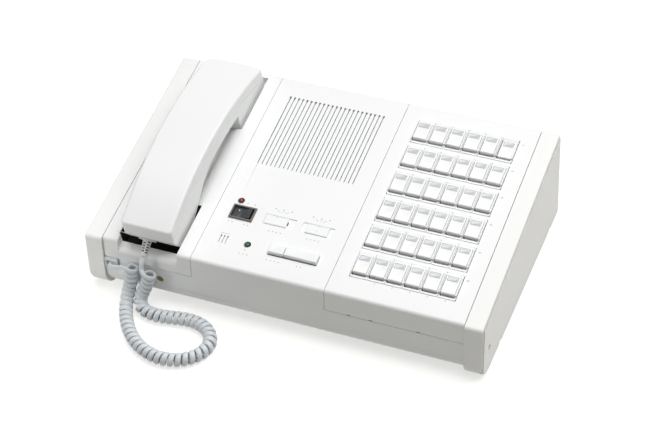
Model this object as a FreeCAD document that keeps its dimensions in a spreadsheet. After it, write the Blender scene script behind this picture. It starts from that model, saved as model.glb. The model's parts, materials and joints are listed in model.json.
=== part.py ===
import FreeCAD, Part
import math
import os
import re
import Sketcher

# A desk intercom master station, in millimetres.
# World frame: +X to the right, +Y to the back, +Z up, desk surface at Z = 0, origin in the
# middle of the footprint. Most pieces are laid out on the deck, the sloping top surface:
# x as in the world, v up the slope from the deck's front edge, n outwards along its normal.

Vector = FreeCAD.Vector
Rotation = FreeCAD.Rotation
Placement = FreeCAD.Placement

# name: (value, meaning)
DIMENSIONS = {
    # body
    "body_half": (170.0, "half width between the end caps"),
    "cap_width": (17.0, "thickness of an end cap"),
    "seam_left": (-83.5, "seam between cradle panel and control deck"),
    "seam_right": (43.0, "seam between control deck and key panel"),
    "deck_length": (226.0, "length of the deck up its slope"),
    "deck_tilt": (8.7, "slope of the deck, degrees"),
    "front_height": (62.5, "height of the deck's front edge"),
    "front_edge_y": (-109.2, "place of the deck's front edge"),
    "front_lean": (4.6, "forward lean of the front face, degrees"),
    "body_bottom": (5.0, "height of the body's underside"),
    "body_corner": (18.0, "radius of the body's lower front corner"),
    "cap_corner": (21.0, "radius of an end cap's lower front corner"),
    "cap_proud": (2.0, "how far an end cap stands in front of the body"),
    "edge_round": (3.5, "radius of the deck's front edge"),
    "rear_round": (5.0, "radius of the deck's rear edge"),
    "wall": (2.5, "wall thickness of the mouldings"),
    "seam": (0.4, "gap at a seam"),
    "apron_bottom": (41.0, "height where the panels' front aprons end"),
    "rear_apron": (76.0, "height where the panels' rear aprons end"),
    "rail": (10.0, "depth of the stiffening flanges under the control deck"),
    # end cap details
    "cap_side": (3.6, "thickness of a cap's outer wall"),
    "cap_rim": (1.6, "radius of a cap's outer rim"),
    "groove_inset": (1.9, "cap edge to groove"),
    "groove_width": (3.4, "width of the groove round a cap's side"),
    "groove_depth": (2.4, "depth of that groove"),
    "groove_low": (6.0, "height where the groove ends"),
    "cap_sink": (6.0, "depth of the hole over a cap's screw"),
    "cap_screw_v": (14.7, "cap screw, from the deck's front edge"),
    "cap_screw_z": (25.7, "cap screw height"),
    "screw_head": (3.0, "screw head radius"),
    "screw_shank": (1.5, "screw shank radius"),
    "screw_hole": (1.8, "clearance hole radius"),
    "boss_radius": (4.5, "radius of a screw boss"),
    # handset well
    "well_left": (-156.6, "left wall of the handset well"),
    "well_right": (-96.8, "right wall of the handset well"),
    "well_back": (217.8, "rear wall of the handset well"),
    "lip_left": (-155.0, "left end of the lowered front lip"),
    "lip_drop": (9.8, "drop of the front lip below the deck"),
    "lip_depth": (8.0, "front to back depth of the lip"),
    "lip_round": (5.0, "radius of the lip's front edge"),
    "mouth_floor": (20.0, "depth of the well under the mouthpiece"),
    "grip_floor": (14.0, "depth of the well under the grip"),
    "ear_floor": (8.0, "depth of the well under the earpiece"),
    "grip_front": (57.0, "where the finger scoop starts"),
    "grip_back": (153.0, "where the finger scoop ends"),
    "scoop": (16.0, "radius of the finger scoop"),
    "scoop_edge": (-95.5, "edge of the finger scoop on the deck"),
    # handset
    "set_front": (4.0, "front end of the handset"),
    "set_back": (217.0, "rear end of the handset"),
    "set_right": (-99.4, "right side of the handset"),
    "set_left_front": (-148.4, "left side at the mouthpiece"),
    "set_left_back": (-155.4, "left side at the earpiece"),
    "set_crown": (95.0, "where the handset is highest"),
    "set_top": (39.3, "height of the crown"),
    "set_top_front": (23.5, "height of the front top edge"),
    "set_top_back": (15.5, "height of the rear top edge"),
    "part_crown": (28.0, "parting line at the crown"),
    "part_front": (9.5, "parting line at the front"),
    "part_back": (1.0, "parting line at the rear"),
    "set_bottom": (6.0, "how far the ear and mouth blocks reach into the well"),
    "arch_top": (18.5, "underside of the grip"),
    "ear_step": (13.5, "underside of the grip at the ear block"),
    "shell": (2.2, "wall of the handset shells"),
    "set_round": (2.6, "radius of the handset's edges"),
    "receiver_x": (-127.4, "middle of the ear and mouth capsules"),
    "receiver_v": (184.0, "ear capsule up the slope"),
    "receiver_radius": (18.0, "ear capsule"),
    "transmitter_v": (27.0, "mouth capsule up the slope"),
    "transmitter_radius": (9.5, "mouth capsule"),
    # hook switch
    "hook_radius": (4.0, "hook plunger"),
    "clip_slot": (3.6, "width of the slots over the key panel's clips"),
    # station keys
    "first_key_x": (58.5, "left edge of the first key cell"),
    "first_key_v": (206.0, "rear edge of the first row"),
    "key_pitch": (16.0, "distance between keys in a row"),
    "row_pitch": (31.5, "distance between rows"),
    "cell_depth": (25.0, "front to back size of a key's cell"),
    "key_width": (12.8, "key cap width"),
    "key_depth": (20.4, "key cap depth"),
    "key_top": (3.4, "key cap above the deck"),
    "key_skirt": (4.2, "key cap below the deck"),
    "key_wall": (1.2, "wall of a key cap"),
    "key_front_gap": (1.6, "front of a cell to key front"),
    "latch_depth": (2.0, "how far the latched key stays down"),
    "window_depth": (4.6, "front to back size of a key's window"),
    "window_side": (1.6, "key side to window"),
    "window_rear": (2.1, "key rear to window"),
    "window_sunk": (0.9, "thickness of a key's window"),
    "frame_top": (0.6, "height of the clear frames above the deck"),
    "frame_low": (1.8, "depth of the clear frames below the deck"),
    "frame_gap": (0.4, "gap between the frames of neighbouring keys"),
    "frame_front": (2.0, "front bar of a frame, ahead of the cell"),
    "frame_corner": (2.0, "radius of a frame's corners"),
    "row_gap": (0.3, "row opening beyond its frames, front and rear"),
    # control deck
    "grille_x": (-67.1, "first grille slot"),
    "grille_front": (118.0, "front end of the grille slots"),
    "grille_back": (201.0, "rear end of the grille slots"),
    "slot_pitch": (4.21, "distance between grille slots"),
    "slot_width": (0.8, "width of a grille slot"),
    "slot_eye": (1.1, "radius of the round eye at a slot's end"),
    "speaker_radius": (43.0, "loudspeaker"),
    "mic_x": (-66.5, "first microphone slot"),
    "mic_front": (24.0, "front end of the microphone slots"),
    "mic_back": (32.0, "rear end of the microphone slots"),
    "mic_pitch": (3.2, "distance between microphone slots"),
    "mic_width": (0.6, "width of a microphone slot"),
    "mic_eye": (0.8, "radius of the round eye at a microphone slot's end"),
    "power_x": (-57.4, "middle of the power switch"),
    "power_v": (60.0, "middle of the power switch"),
    "bezel_width": (22.5, "power switch bezel"),
    "bezel_depth": (15.5, "power switch bezel"),
    "bezel_top": (1.6, "power switch bezel above the deck"),
    "select_left": (-21.9, "middle of the left selector"),
    "select_right": (14.0, "middle of the right selector"),
    "select_v": (60.2, "both selectors"),
    "select_length": (29.2, "selector recess"),
    "select_depth": (11.4, "selector recess"),
    "select_sunk": (1.2, "depth of the selector recess"),
    "slider_length": (21.4, "selector cap"),
    "slider_top": (1.2, "selector cap above the deck"),
    "slider_offset": (3.2, "selector cap off the middle"),
    "bar_front": (24.2, "front edge of the call and talk keys"),
    "bar_depth": (9.4, "front to back size of the call and talk keys"),
    "bar_slit": (1.0, "gap in front of the call and talk keys"),
    "call_left": (-18.9, "call key"),
    "call_right": (-4.4, "call key"),
    "talk_left": (-3.8, "talk key"),
    "talk_right": (26.7, "talk key"),
    "bar_top": (3.8, "call and talk keys above the deck"),
    "lamp_radius": (2.5, "indicator lamp"),
    "lamp_dome": (-0.9, "foot of a lamp's dome above the deck"),
    "red_lamp_x": (-64.2, "red lamp"),
    "red_lamp_v": (73.0, "red lamp"),
    "green_lamp_x": (-39.8, "green lamp"),
    "green_lamp_v": (28.3, "green lamp"),
    # jack and cord
    "jack_left": (-169.2, "jack opening"),
    "jack_right": (-155.2, "jack opening"),
    "jack_low": (28.5, "jack opening"),
    "front_screw_x": (-115.4, "screw in the front face"),
    "front_screw_z": (29.1, "screw in the front face"),
    "coil_diameter": (12.5, "outside of the curly cord"),
    "lead_diameter": (4.8, "straight lead of the cord"),
    "relief_x": (-127.4, "strain relief"),
    "relief_n": (2.5, "height of the strain relief's foot"),
    "relief_length": (16.0, "length of the strain relief"),
    "relief_stub": (2.6, "radius of the relief's stub in the shell"),
    "relief_plate": (15.0, "width of the relief's foot plate"),
    "relief_plate_depth": (8.0, "height of the foot plate along the chin"),
    "relief_base": (4.5, "radius of the relief's sleeve at the plate"),
    "relief_tip": (3.4, "radius of the sleeve at its end"),
}

doc = FreeCAD.newDocument("desk_intercom")
sheet = doc.addObject("Spreadsheet::Sheet", "Sheet")
for row, (alias, (size, meaning)) in enumerate(DIMENSIONS.items(), start=1):
    sheet.set("A%d" % row, meaning)
    sheet.set("B%d" % row, str(size))
    sheet.setAlias("B%d" % row, alias)
doc.recompute()

nodes = []


# ---------------------------------------------------------------- helpers

def bind(text):
    """Turn dimension names in an expression into references to the sheet."""
    swap = lambda word: "Sheet." + word.group(0) if word.group(0) in DIMENSIONS else word.group(0)
    return re.sub(r"[a-z_]+", swap, str(text))


def value(text):
    """The number that an expression gives."""
    found = sheet.evalExpression(bind(text))
    return float(getattr(found, "Value", found))


def on_deck(x, v, n):
    """World coordinates of a deck point, as expressions."""
    y = "front_edge_y + (%s) * cos(deck_tilt) - (%s) * sin(deck_tilt)" % (v, n)
    z = "front_height + (%s) * sin(deck_tilt) + (%s) * cos(deck_tilt)" % (v, n)
    return x, y, z


def deck_point(x, v, n):
    """World coordinates of a deck point, as a vector."""
    return Vector(*[value(text) for text in on_deck(x, v, n)])


def put(piece, base, tilted=False):
    """Bind a piece's Placement to the sheet."""
    piece.Placement = Placement(Vector(), Rotation(Vector(1, 0, 0), value("deck_tilt") if tilted else 0))
    if tilted:
        piece.setExpression("Placement.Rotation.Angle", bind("deck_tilt"))
    for axis, text in zip("xyz", base):
        piece.setExpression("Placement.Base." + axis, bind(text))


def box(x, y, z, deck=False):
    """A box between pairs of expressions, in the world frame or on the deck."""
    piece = doc.addObject("Part::Box", "box")
    for side, (low, high) in zip(("Length", "Width", "Height"), (x, y, z)):
        piece.setExpression(side, bind("(%s) - (%s)" % (high, low)))
    base = (x[0], y[0], z[0])
    put(piece, on_deck(*base) if deck else base, deck)
    return piece


def pillar(x, v, low, high, radius):
    """A cylinder that stands on the deck's normal."""
    piece = doc.addObject("Part::Cylinder", "pillar")
    piece.setExpression("Radius", bind(radius))
    piece.setExpression("Height", bind("(%s) - (%s)" % (high, low)))
    put(piece, on_deck(x, v, low), True)
    return piece


def rod(start, direction, length, radius):
    """A cylinder along a world axis from a point given by expressions."""
    piece = doc.addObject("Part::Cylinder", "rod")
    piece.setExpression("Radius", bind(radius))
    piece.setExpression("Height", bind(length))
    piece.Placement = Placement(Vector(), Rotation(Vector(0, 0, 1), Vector(*direction)))
    for axis, text in zip("xyz", start):
        piece.setExpression("Placement.Base." + axis, bind(text))
    return piece


def sketch_outline(sketch, outline):
    """Draw a closed outline. An item is (a, b) or (a, b, radius) for an arc to the next item:
    a positive radius bulges to the right of the way along the outline."""
    corners = [Vector(value(item[0]), value(item[1]), 0) for item in outline]
    count = len(corners)
    edges = []
    for index, item in enumerate(outline):
        start = corners[index]
        end = corners[(index + 1) % count]
        if len(item) == 3:
            radius = value(item[2])
            chord = end - start
            rise = abs(radius) - math.sqrt(radius ** 2 - (chord.Length / 2) ** 2)
            side = Vector(chord.y, -chord.x, 0).normalize() * math.copysign(rise, radius)
            edges.append(Part.Arc(start, start + chord * 0.5 + side, end))
        else:
            edges.append(Part.LineSegment(start, end))
    sketch.addGeometry(edges, False)
    meets = []
    for index, item in enumerate(outline):
        arc_turned = len(item) == 3 and value(item[2]) < 0
        following = (index + 1) % count
        next_turned = len(outline[following]) == 3 and value(outline[following][2]) < 0
        meets.append(Sketcher.Constraint("Coincident", index, 1 if arc_turned else 2,
                                         following, 2 if next_turned else 1))
    sketch.addConstraint(meets)
    for index, item in enumerate(outline):
        turned = len(item) == 3 and value(item[2]) < 0
        for kind, text, size in (("DistanceX", item[0], corners[index].x),
                                 ("DistanceY", item[1], corners[index].y)):
            name = "%s%d" % (kind, index)
            place = Sketcher.Constraint(kind, -1, 1, index, 2 if turned else 1, size)
            sketch.renameConstraint(sketch.addConstraint(place), name)
            sketch.setExpression("Constraints." + name, bind(text))
        if len(item) == 3:
            name = "Radius%d" % index
            bend = Sketcher.Constraint("Radius", index, abs(value(item[2])))
            sketch.renameConstraint(sketch.addConstraint(bend), name)
            sketch.setExpression("Constraints." + name, bind("abs(%s)" % item[2]))


def prism(outline, low, high, deck=False):
    """An outline in the y-z plane, or the deck's v-n plane, extruded from x low to x high."""
    sketch = doc.addObject("Sketcher::SketchObject", "outline")
    sketch_outline(sketch, outline)
    side_view = Rotation(Vector(1, 1, 1), 120)
    tilt = Rotation(Vector(1, 0, 0), value("deck_tilt") if deck else 0)
    base = deck_point(low, "0", "0") if deck else Vector(value(low), 0, 0)
    sketch.Placement = Placement(base, tilt * side_view)
    solid = doc.addObject("Part::Extrusion", "prism")
    solid.Base = sketch
    solid.DirMode = "Custom"
    solid.Dir = Vector(1, 0, 0)
    solid.setExpression("LengthFwd", bind("(%s) - (%s)" % (high, low)))
    solid.Solid = True
    return solid


def slab(outline, low, high):
    """An outline in the deck's x-v plane, extruded along its normal from n low to n high."""
    sketch = doc.addObject("Sketcher::SketchObject", "outline")
    sketch_outline(sketch, outline)
    sketch.Placement = Placement(deck_point("0", "0", low), Rotation(Vector(1, 0, 0), value("deck_tilt")))
    solid = doc.addObject("Part::Extrusion", "slab")
    solid.Base = sketch
    solid.DirMode = "Normal"
    solid.setExpression("LengthFwd", bind("(%s) - (%s)" % (high, low)))
    solid.Solid = True
    return solid


def fuse(*pieces):
    joined = doc.addObject("Part::MultiFuse", "fuse")
    joined.Shapes = list(pieces)
    return joined


def common(*pieces):
    shared = doc.addObject("Part::MultiCommon", "common")
    shared.Shapes = list(pieces)
    return shared


def cut(base, *tools):
    carved = doc.addObject("Part::Cut", "cut")
    carved.Base = base
    carved.Tool = fuse(*tools) if len(tools) > 1 else tools[0]
    return carved


def group(*pieces):
    together = doc.addObject("Part::Compound", "group")
    together.Links = list(pieces)
    return together


def rounded(base, radius, wanted):
    """Fillet the edges for which wanted(edge) holds."""
    doc.recompute()
    picked = [number for number, edge in enumerate(base.Shape.Edges, start=1) if wanted(edge)]
    if not picked:
        raise RuntimeError("no edge to round")
    smooth = doc.addObject("Part::Fillet", "rounded")
    smooth.Base = base
    smooth.Edges = [(number, value(radius), value(radius)) for number in picked]
    return smooth


def middle(edge):
    return edge.valueAt((edge.FirstParameter + edge.LastParameter) / 2)


def runs_along(edge, direction):
    ends = edge.Vertexes
    if len(ends) < 2 or edge.Curve.TypeId != "Part::GeomLine":
        return False
    return abs((ends[1].Point - ends[0].Point).normalize().dot(direction)) > 0.999


def keep(piece, label):
    """Name a finished sub-part."""
    piece.Label = label
    nodes.append(piece)
    return piece


def body_plane(body, role):
    return [(item, "") for item in body.Origin.OriginFeatures if item.Role == role]


def body_sketch(body, name, outline, height):
    """A sketch parallel to the body's own XY plane."""
    sketch = body.newObject("Sketcher::SketchObject", name)
    sketch.AttachmentSupport = body_plane(body, "XY_Plane")
    sketch.MapMode = "FlatFace"
    sketch.setExpression("AttachmentOffset.Base.z", bind(height))
    sketch_outline(sketch, outline)
    return sketch


def rectangle(x, y):
    return [(x[0], y[0]), (x[1], y[0]), (x[1], y[1]), (x[0], y[1])]


X_AXIS = Vector(1, 0, 0)
DECK_TURN = Rotation(Vector(1, 0, 0), value("deck_tilt"))
DECK_NORMAL = DECK_TURN.multVec(Vector(0, 0, 1))
DECK_SLOPE = DECK_TURN.multVec(Vector(0, 1, 0))
DECK_ORIGIN = deck_point("0", "0", "0")


def local(point):
    """A world point's deck coordinates (x, v, n)."""
    return DECK_TURN.inverted().multVec(point - DECK_ORIGIN)


# ---------------------------------------------------------------- body cross-section

def body_outline(front, top, rear, bottom):
    """The body's side view, each face moved in by its inset; bottom is a height."""
    lean = "tan(front_lean)"
    slope = "tan(deck_tilt)"
    top_y = "((%s) / cos(front_lean) - %s * (%s) / cos(deck_tilt)) / (1 - %s * %s)" % (
        front, lean, top, lean, slope)
    top_z = "(%s) * %s - (%s) / cos(deck_tilt)" % (top_y, slope, top)
    back = "deck_length * cos(deck_tilt) - (%s)" % rear
    back_z = "(%s) * %s - (%s) / cos(deck_tilt)" % (back, slope, top)
    foot_y = "(%s) / cos(front_lean) - (front_height - (%s)) * %s" % (front, bottom, lean)
    return [
        ("front_edge_y + " + foot_y, bottom),
        ("front_edge_y + " + back, bottom),
        ("front_edge_y + " + back, "front_height + " + back_z),
        ("front_edge_y + " + top_y, "front_height + " + top_z),
    ]


def soften_body(solid, corner, front_round, rear_round):
    """Round the long edges of a body or cap prism."""
    long_edge = lambda edge: runs_along(edge, X_AXIS)
    low_front = lambda edge: long_edge(edge) and middle(edge).z < 12 and middle(edge).y < 0
    high_front = lambda edge: long_edge(edge) and middle(edge).z > 40 and middle(edge).y < 0
    high_rear = lambda edge: long_edge(edge) and middle(edge).z > 60 and middle(edge).y > 0
    solid = rounded(solid, corner, low_front)
    solid = rounded(solid, front_round, high_front)
    return rounded(solid, rear_round, high_rear)


half = "(body_half - seam / 2)"
body_solid = soften_body(prism(body_outline("0", "0", "0", "body_bottom"), "-" + half, half),
                         "body_corner", "edge_round", "rear_round")
inside_half = "(body_half - seam / 2 - wall)"
body_hollow = soften_body(prism(body_outline("wall", "wall", "wall", "body_bottom + wall"),
                                "-" + inside_half, inside_half),
                          "body_corner - wall", "edge_round - wall", "rear_round - wall")

OVER_TOP = "140"
IN_FRONT = "front_edge_y - 20"
BEHIND = "front_edge_y + deck_length + 10"
REAR_ZONE = "front_edge_y + deck_length * cos(deck_tilt) - 12"


def panel_space(low, high, grow):
    """The space of a top panel between two seams, grown by half a seam gap."""
    sides = ("(%s) - (%s)" % (low, grow), "(%s) + (%s)" % (high, grow))
    ahead = box(sides, (IN_FRONT, REAR_ZONE), ("apron_bottom - (%s)" % grow, OVER_TOP))
    rear = box(sides, (REAR_ZONE, BEHIND), ("rear_apron - (%s)" % grow, OVER_TOP))
    return fuse(ahead, rear)


# ---------------------------------------------------------------- main housing

left_space = panel_space("-body_half", "seam_left", "seam / 2")
right_space = panel_space("seam_right", "body_half", "seam / 2")
base_opening = box(("-body_half + 10", "body_half - 10"), ("front_edge_y + 18", "front_edge_y + 214"),
                   ("0", "body_bottom + wall + 1"))

grille = []
for number in range(23):
    slot_x = "grille_x + %d * slot_pitch" % number
    grille.append(box((slot_x + " - slot_width / 2", slot_x + " + slot_width / 2"),
                      ("grille_front", "grille_back"), ("-wall - 1", "1"), deck=True))
    grille.append(pillar(slot_x, "grille_back", "-wall - 1", "1", "slot_eye"))
for number in range(3):
    slot_x = "mic_x + %d * mic_pitch" % number
    grille.append(box((slot_x + " - mic_width / 2", slot_x + " + mic_width / 2"), ("mic_front", "mic_back"),
                      ("-wall - 1", "1"), deck=True))
    grille.append(pillar(slot_x, "mic_back", "-wall - 1", "1", "mic_eye"))

power_hole = box(("power_x - bezel_width / 2 + 0.6", "power_x + bezel_width / 2 - 0.6"),
                 ("power_v - bezel_depth / 2 + 0.6", "power_v + bezel_depth / 2 - 0.6"),
                 ("-wall - 1", "1"), deck=True)
select_holes = []
for centre in ("select_left", "select_right"):
    select_holes.append(box((centre + " - select_length / 2", centre + " + select_length / 2"),
                            ("select_v - select_depth / 2", "select_v + select_depth / 2"),
                            ("-select_sunk", "1"), deck=True))
    select_holes.append(box((centre + " - 8", centre + " + 8"), ("select_v - 2", "select_v + 2"),
                            ("-wall - 1", "1"), deck=True))
bar_hole = box(("call_left - 0.4", "talk_right + 0.4"),
               ("bar_front - bar_slit", "bar_front + bar_depth + 0.4"), ("-wall - 1", "1"), deck=True)
lamp_holes = [pillar(lamp + "_x", lamp + "_v", "-wall - 1", "1", "lamp_radius + 0.9")
              for lamp in ("red_lamp", "green_lamp")]
jack_hole = box(("jack_left", "jack_right"), (IN_FRONT, "front_edge_y + 4"),
                ("jack_low", "apron_bottom + seam"))
front_screw_hole = rod(("front_screw_x", IN_FRONT, "front_screw_z"), (0, 1, 0), "40", "screw_hole")
front_screw_sink = rod(("front_screw_x", IN_FRONT, "front_screw_z"), (0, 1, 0), "20 - 0.4",
                       "screw_head + 0.4")
CONNECTORS = ("-60", "-2")
connector_holes = [box((left, left + " + 46"), (REAR_ZONE, BEHIND), ("22", "37")) for left in CONNECTORS]
side_screw_holes = [rod(("-body_half - 1", "front_edge_y + " + along, "cap_screw_z"), (1, 0, 0),
                        "2 * body_half + 2", "screw_hole")
                    for along in ("cap_screw_v", "196")]

flanges = [box((side + inner, side + outer), ("wall + 4", "deck_length - 8"), ("-rail", "-wall + 0.5"),
               deck=True)
           for side, inner, outer in (("seam_left", " + seam / 2", " + seam / 2 + 2"),
                                      ("seam_right", " - seam / 2 - 2", " - seam / 2"))]
front_boss = rod(("front_screw_x", "front_edge_y - 1", "front_screw_z"), (0, 1, 0), "11", "boss_radius")
board_posts = [pillar(x, v, "-15", "-wall + 0.5", "3") for x in ("-76", "35") for v in ("16", "100")]
housing_shell = cut(body_solid, body_hollow, left_space, right_space, base_opening)
main_housing = cut(fuse(housing_shell, *flanges, *board_posts, front_boss), power_hole, bar_hole, jack_hole,
                   front_screw_hole, front_screw_sink, *grille, *select_holes, *lamp_holes,
                   *connector_holes, *side_screw_holes)
keep(main_housing, "main_housing")

# ---------------------------------------------------------------- base plate

BASE_BOSSES = [(side, along) for side in ("-140", "0", "140") for along in ("40", "190")]
plate = box(("-body_half + 10.3", "body_half - 10.3"), ("front_edge_y + 18.3", "front_edge_y + 213.7"),
            ("body_bottom", "body_bottom + wall"))
base_bosses = [rod((side, "front_edge_y + " + along, "body_bottom"), (0, 0, 1), "18", "boss_radius")
               for side, along in BASE_BOSSES]
base_holes = [rod((side, "front_edge_y + " + along, "0"), (0, 0, 1), "40", "screw_hole")
              for side, along in BASE_BOSSES]
base_sinks = [rod((side, "front_edge_y + " + along, "0"), (0, 0, 1), "body_bottom + 2",
                  "screw_head + 0.5") for side, along in BASE_BOSSES]
vents = [box((str(left), str(left + 60)), ("front_edge_y + %d" % along, "front_edge_y + %d" % (along + 3)),
             ("0", "20"))
         for left in (-110, 50) for along in range(90, 140, 8)]
keep(cut(fuse(plate, *base_bosses), *base_holes, *base_sinks, *vents), "base_plate")


# ---------------------------------------------------------------- end caps

def end_cap(side):
    """side is -1 for the left cap and 1 for the right one."""
    span = lambda inner, outer: ((inner, outer) if side > 0
                                 else ("-(%s)" % outer, "-(%s)" % inner))
    face = "body_half + seam / 2"
    outer = "body_half + cap_width"
    solid = soften_body(prism(body_outline("-cap_proud", "0", "0", "0"), *span(face, outer)),
                        "cap_corner", "edge_round", "rear_round")
    out_x = side * value(outer)
    rim = lambda edge: abs(middle(edge).x - out_x) < 0.01
    solid = rounded(solid, "cap_rim", rim)
    hollow = prism(body_outline("wall", "wall", "wall", "wall"), *span(face + " - 1", outer + " - cap_side"))
    hollow = rounded(hollow, "cap_corner - wall", lambda e: runs_along(e, X_AXIS)
                     and middle(e).z < 12 and middle(e).y < 0)
    # a groove follows the top and front edges on the outer side
    ring_outer = prism(body_outline("groove_inset - cap_proud", "groove_inset", "-20", "6"),
                       *span(outer + " - groove_depth", outer + " + 1"))
    ring_inner = prism(body_outline("groove_inset + groove_width - cap_proud",
                                    "groove_inset + groove_width", "-30", "3"),
                       *span(outer + " - groove_depth - 1", outer + " + 2"))
    foot = box(span(outer + " - groove_depth - 1", outer + " + 2"), (IN_FRONT, BEHIND), ("-30", "groove_low"))
    groove = cut(ring_outer, ring_inner, foot)
    extras = []
    bosses = []
    for along in ("cap_screw_v", "196"):
        start = (("(%s) * %d" % (face, side)), "front_edge_y + " + along, "cap_screw_z")
        bosses.append(rod(start, (side, 0, 0), "cap_width - cap_side", "boss_radius"))
        through = along == "cap_screw_v"
        extras.append(rod(start, (side, 0, 0), "cap_width" if through else "cap_width - cap_side - 1",
                          "screw_hole"))
        sink = ("(%s) * %d" % (outer + " - cap_sink", side), "front_edge_y + " + along, "cap_screw_z")
        if through:
            extras.append(rod(sink, (side, 0, 0), "10", "screw_head + 0.4"))
    # finger notches at the lower edge and a nick for the wiring at the rear one
    for low, high in (("43", "51"), ("192", "200")):
        extras.append(box(span(outer + " - 4", outer + " + 1"),
                          ("front_edge_y + " + low, "front_edge_y + " + high), ("-1", "3.5")))
    shell = cut(solid, hollow)
    return cut(fuse(shell, *bosses), groove, *extras)


keep(end_cap(-1), "left_end_cap")
keep(end_cap(1), "right_end_cap")

# ---------------------------------------------------------------- cradle panel

cradle_space = panel_space("-body_half + seam / 2", "seam_left", "-seam / 2")
cradle_shell = common(cut(body_solid, body_hollow), cradle_space)
tub_width = ("well_left - wall", "scoop_edge + 1.5")
tub_block = box(tub_width, ("-10", "well_back + wall"), ("-grip_floor - wall", "-wall + 0.5"), deck=True)
mouth_block = box(tub_width, ("-10", "grip_front + 1 + wall"), ("-mouth_floor - wall", "-wall + 0.5"),
                  deck=True)
tub = cut(common(fuse(tub_block, mouth_block), body_solid),
          box(("-body_half", "0"), (IN_FRONT, BEHIND), ("0", "apron_bottom + 0.2")))
well_width = ("well_left", "well_right")
lip_cut = box(("lip_left", "well_right"), ("-12", "lip_depth + 1"), ("-lip_drop", "5"), deck=True)
mouth_well = box(well_width, ("lip_depth", "grip_front + 1"), ("-mouth_floor", "5"), deck=True)
grip_block = box(("well_left", "scoop_edge"), ("grip_front", "grip_back"), ("-grip_floor", "5"), deck=True)
ear_well = box(well_width, ("grip_back - 1", "well_back"), ("-ear_floor", "5"), deck=True)
scoop_box = box(("scoop_edge - scoop", "scoop_edge + 1"), ("grip_front - 1", "grip_back + 1"),
                ("-scoop - 1", "0"), deck=True)
scoop_round = doc.addObject("Part::Cylinder", "scoop_round")
scoop_round.setExpression("Radius", bind("scoop"))
scoop_round.setExpression("Height", bind("deck_length"))
scoop_round.Placement = Placement(deck_point("scoop_edge", "0", "-scoop"),
                                  Rotation(Vector(0, 0, 1), DECK_SLOPE))
grip_well = cut(grip_block, common(scoop_box, scoop_round))
hook_hole = pillar("receiver_x", "receiver_v", "-20", "0", "hook_radius + 0.3")
hook_posts = [pillar("receiver_x + (%d)" % reach, "receiver_v", "-25", "-ear_floor - 1", "1.2")
              for reach in (-8, 8)]
rests = [box(("receiver_x + (%d)" % left, "receiver_x + (%d)" % (left + 4)), ("30", "42"),
             ("-mouth_floor - 0.5", "-set_bottom - 0.2"), deck=True) for left in (-18, 20)]
carved = cut(fuse(cradle_shell, tub, *hook_posts), lip_cut, mouth_well, ear_well, grip_well, hook_hole)
cradle_block = fuse(carved, *rests)


def lip_edge(edge):
    spot = local(middle(edge))
    drop = value("lip_drop")
    return (runs_along(edge, X_AXIS) and abs(spot.z + drop) < 0.5 and spot.y < 3
            and edge.Length > 40)


cradle_panel = rounded(cradle_block, "lip_round", lip_edge)
keep(cradle_panel, "cradle_panel")

# ---------------------------------------------------------------- hook plunger

plunger_top = "-set_bottom - 0.2"
plunger = fuse(pillar("receiver_x", "receiver_v", "-24", plunger_top, "hook_radius"),
               pillar("receiver_x", "receiver_v", "-24", "-22", "hook_radius + 2"))
tip = lambda edge: abs(local(middle(edge)).z - value(plunger_top)) < 0.05 and edge.Length > 10
keep(rounded(plunger, "1.2", tip), "hook_plunger")

# ---------------------------------------------------------------- handset shells

tilt_radius = lambda crown, end, run: "((%s)^2 + ((%s) - (%s))^2) / (2 * ((%s) - (%s)))" % (
    run, crown, end, crown, end)


def grip_curve(crown, front, back, inset="0"):
    """Front end, crown and rear end of an arched line along the handset, front to rear."""
    start = "set_front + (%s)" % inset
    end = "set_back - (%s)" % inset
    rise = tilt_radius(crown, front, "set_crown - (%s)" % start)
    fall = tilt_radius(crown, back, "(%s) - set_crown" % end)
    return (start, front, rise), ("set_crown", crown, fall), (end, back)


def shell_outline(upper, lower):
    """Between two arched lines: along the lower one to the rear, back along the upper one."""
    low_start, low_crown, low_end = lower
    up_start, up_crown, up_end = upper
    forth = [low_start[:2] + ("-(%s)" % low_start[2],), low_crown[:2] + ("-(%s)" % low_crown[2],),
             low_end[:2]]
    back = [up_end[:2] + (up_crown[2],), up_crown[:2] + (up_start[2],), up_start[:2]]
    return forth + back


def plan_outline(inset):
    """The handset from above; the rear end is bowed."""
    left_front = "set_left_front + (%s)" % inset
    left_back = "set_left_back + (%s)" % inset
    right = "set_right - (%s)" % inset
    return [
        (left_front, "set_front + (%s)" % inset),
        (right, "set_front + (%s)" % inset),
        (right, "set_back - 3 - (%s)" % inset, "150"),
        (left_back, "set_back - 3 - (%s)" % inset),
    ]


def plan_solid(inset, corner):
    """The plan outline as a tall block with rounded corners."""
    block = slab(plan_outline(inset), "-set_bottom - 5", "set_top + 5")
    upright = lambda edge: runs_along(edge, DECK_NORMAL)
    return rounded(block, corner, upright)


set_width = ("set_left_back - 2", "set_right + 2")
top_curve = grip_curve("set_top", "set_top_front", "set_top_back")
part_curve = grip_curve("part_crown", "part_front", "part_back")
upper_solid = common(prism(shell_outline(top_curve, part_curve), *set_width, deck=True),
                     plan_solid("0", "3.5"))


def top_rim(edge):
    """Edges where the crowned top meets the sides and ends."""
    spot = local(middle(edge))
    reach = spot.y - value("set_crown")
    crown = value("set_top")
    fall = crown - value("set_top_front" if reach < 0 else "set_top_back")
    run = value("set_crown - set_front") if reach < 0 else value("set_back - set_crown")
    radius = (run ** 2 + fall ** 2) / (2 * fall)
    expected = crown - radius + math.sqrt(radius ** 2 - reach ** 2)
    return abs(spot.z - expected) < 0.4 and edge.Length > 2


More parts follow.
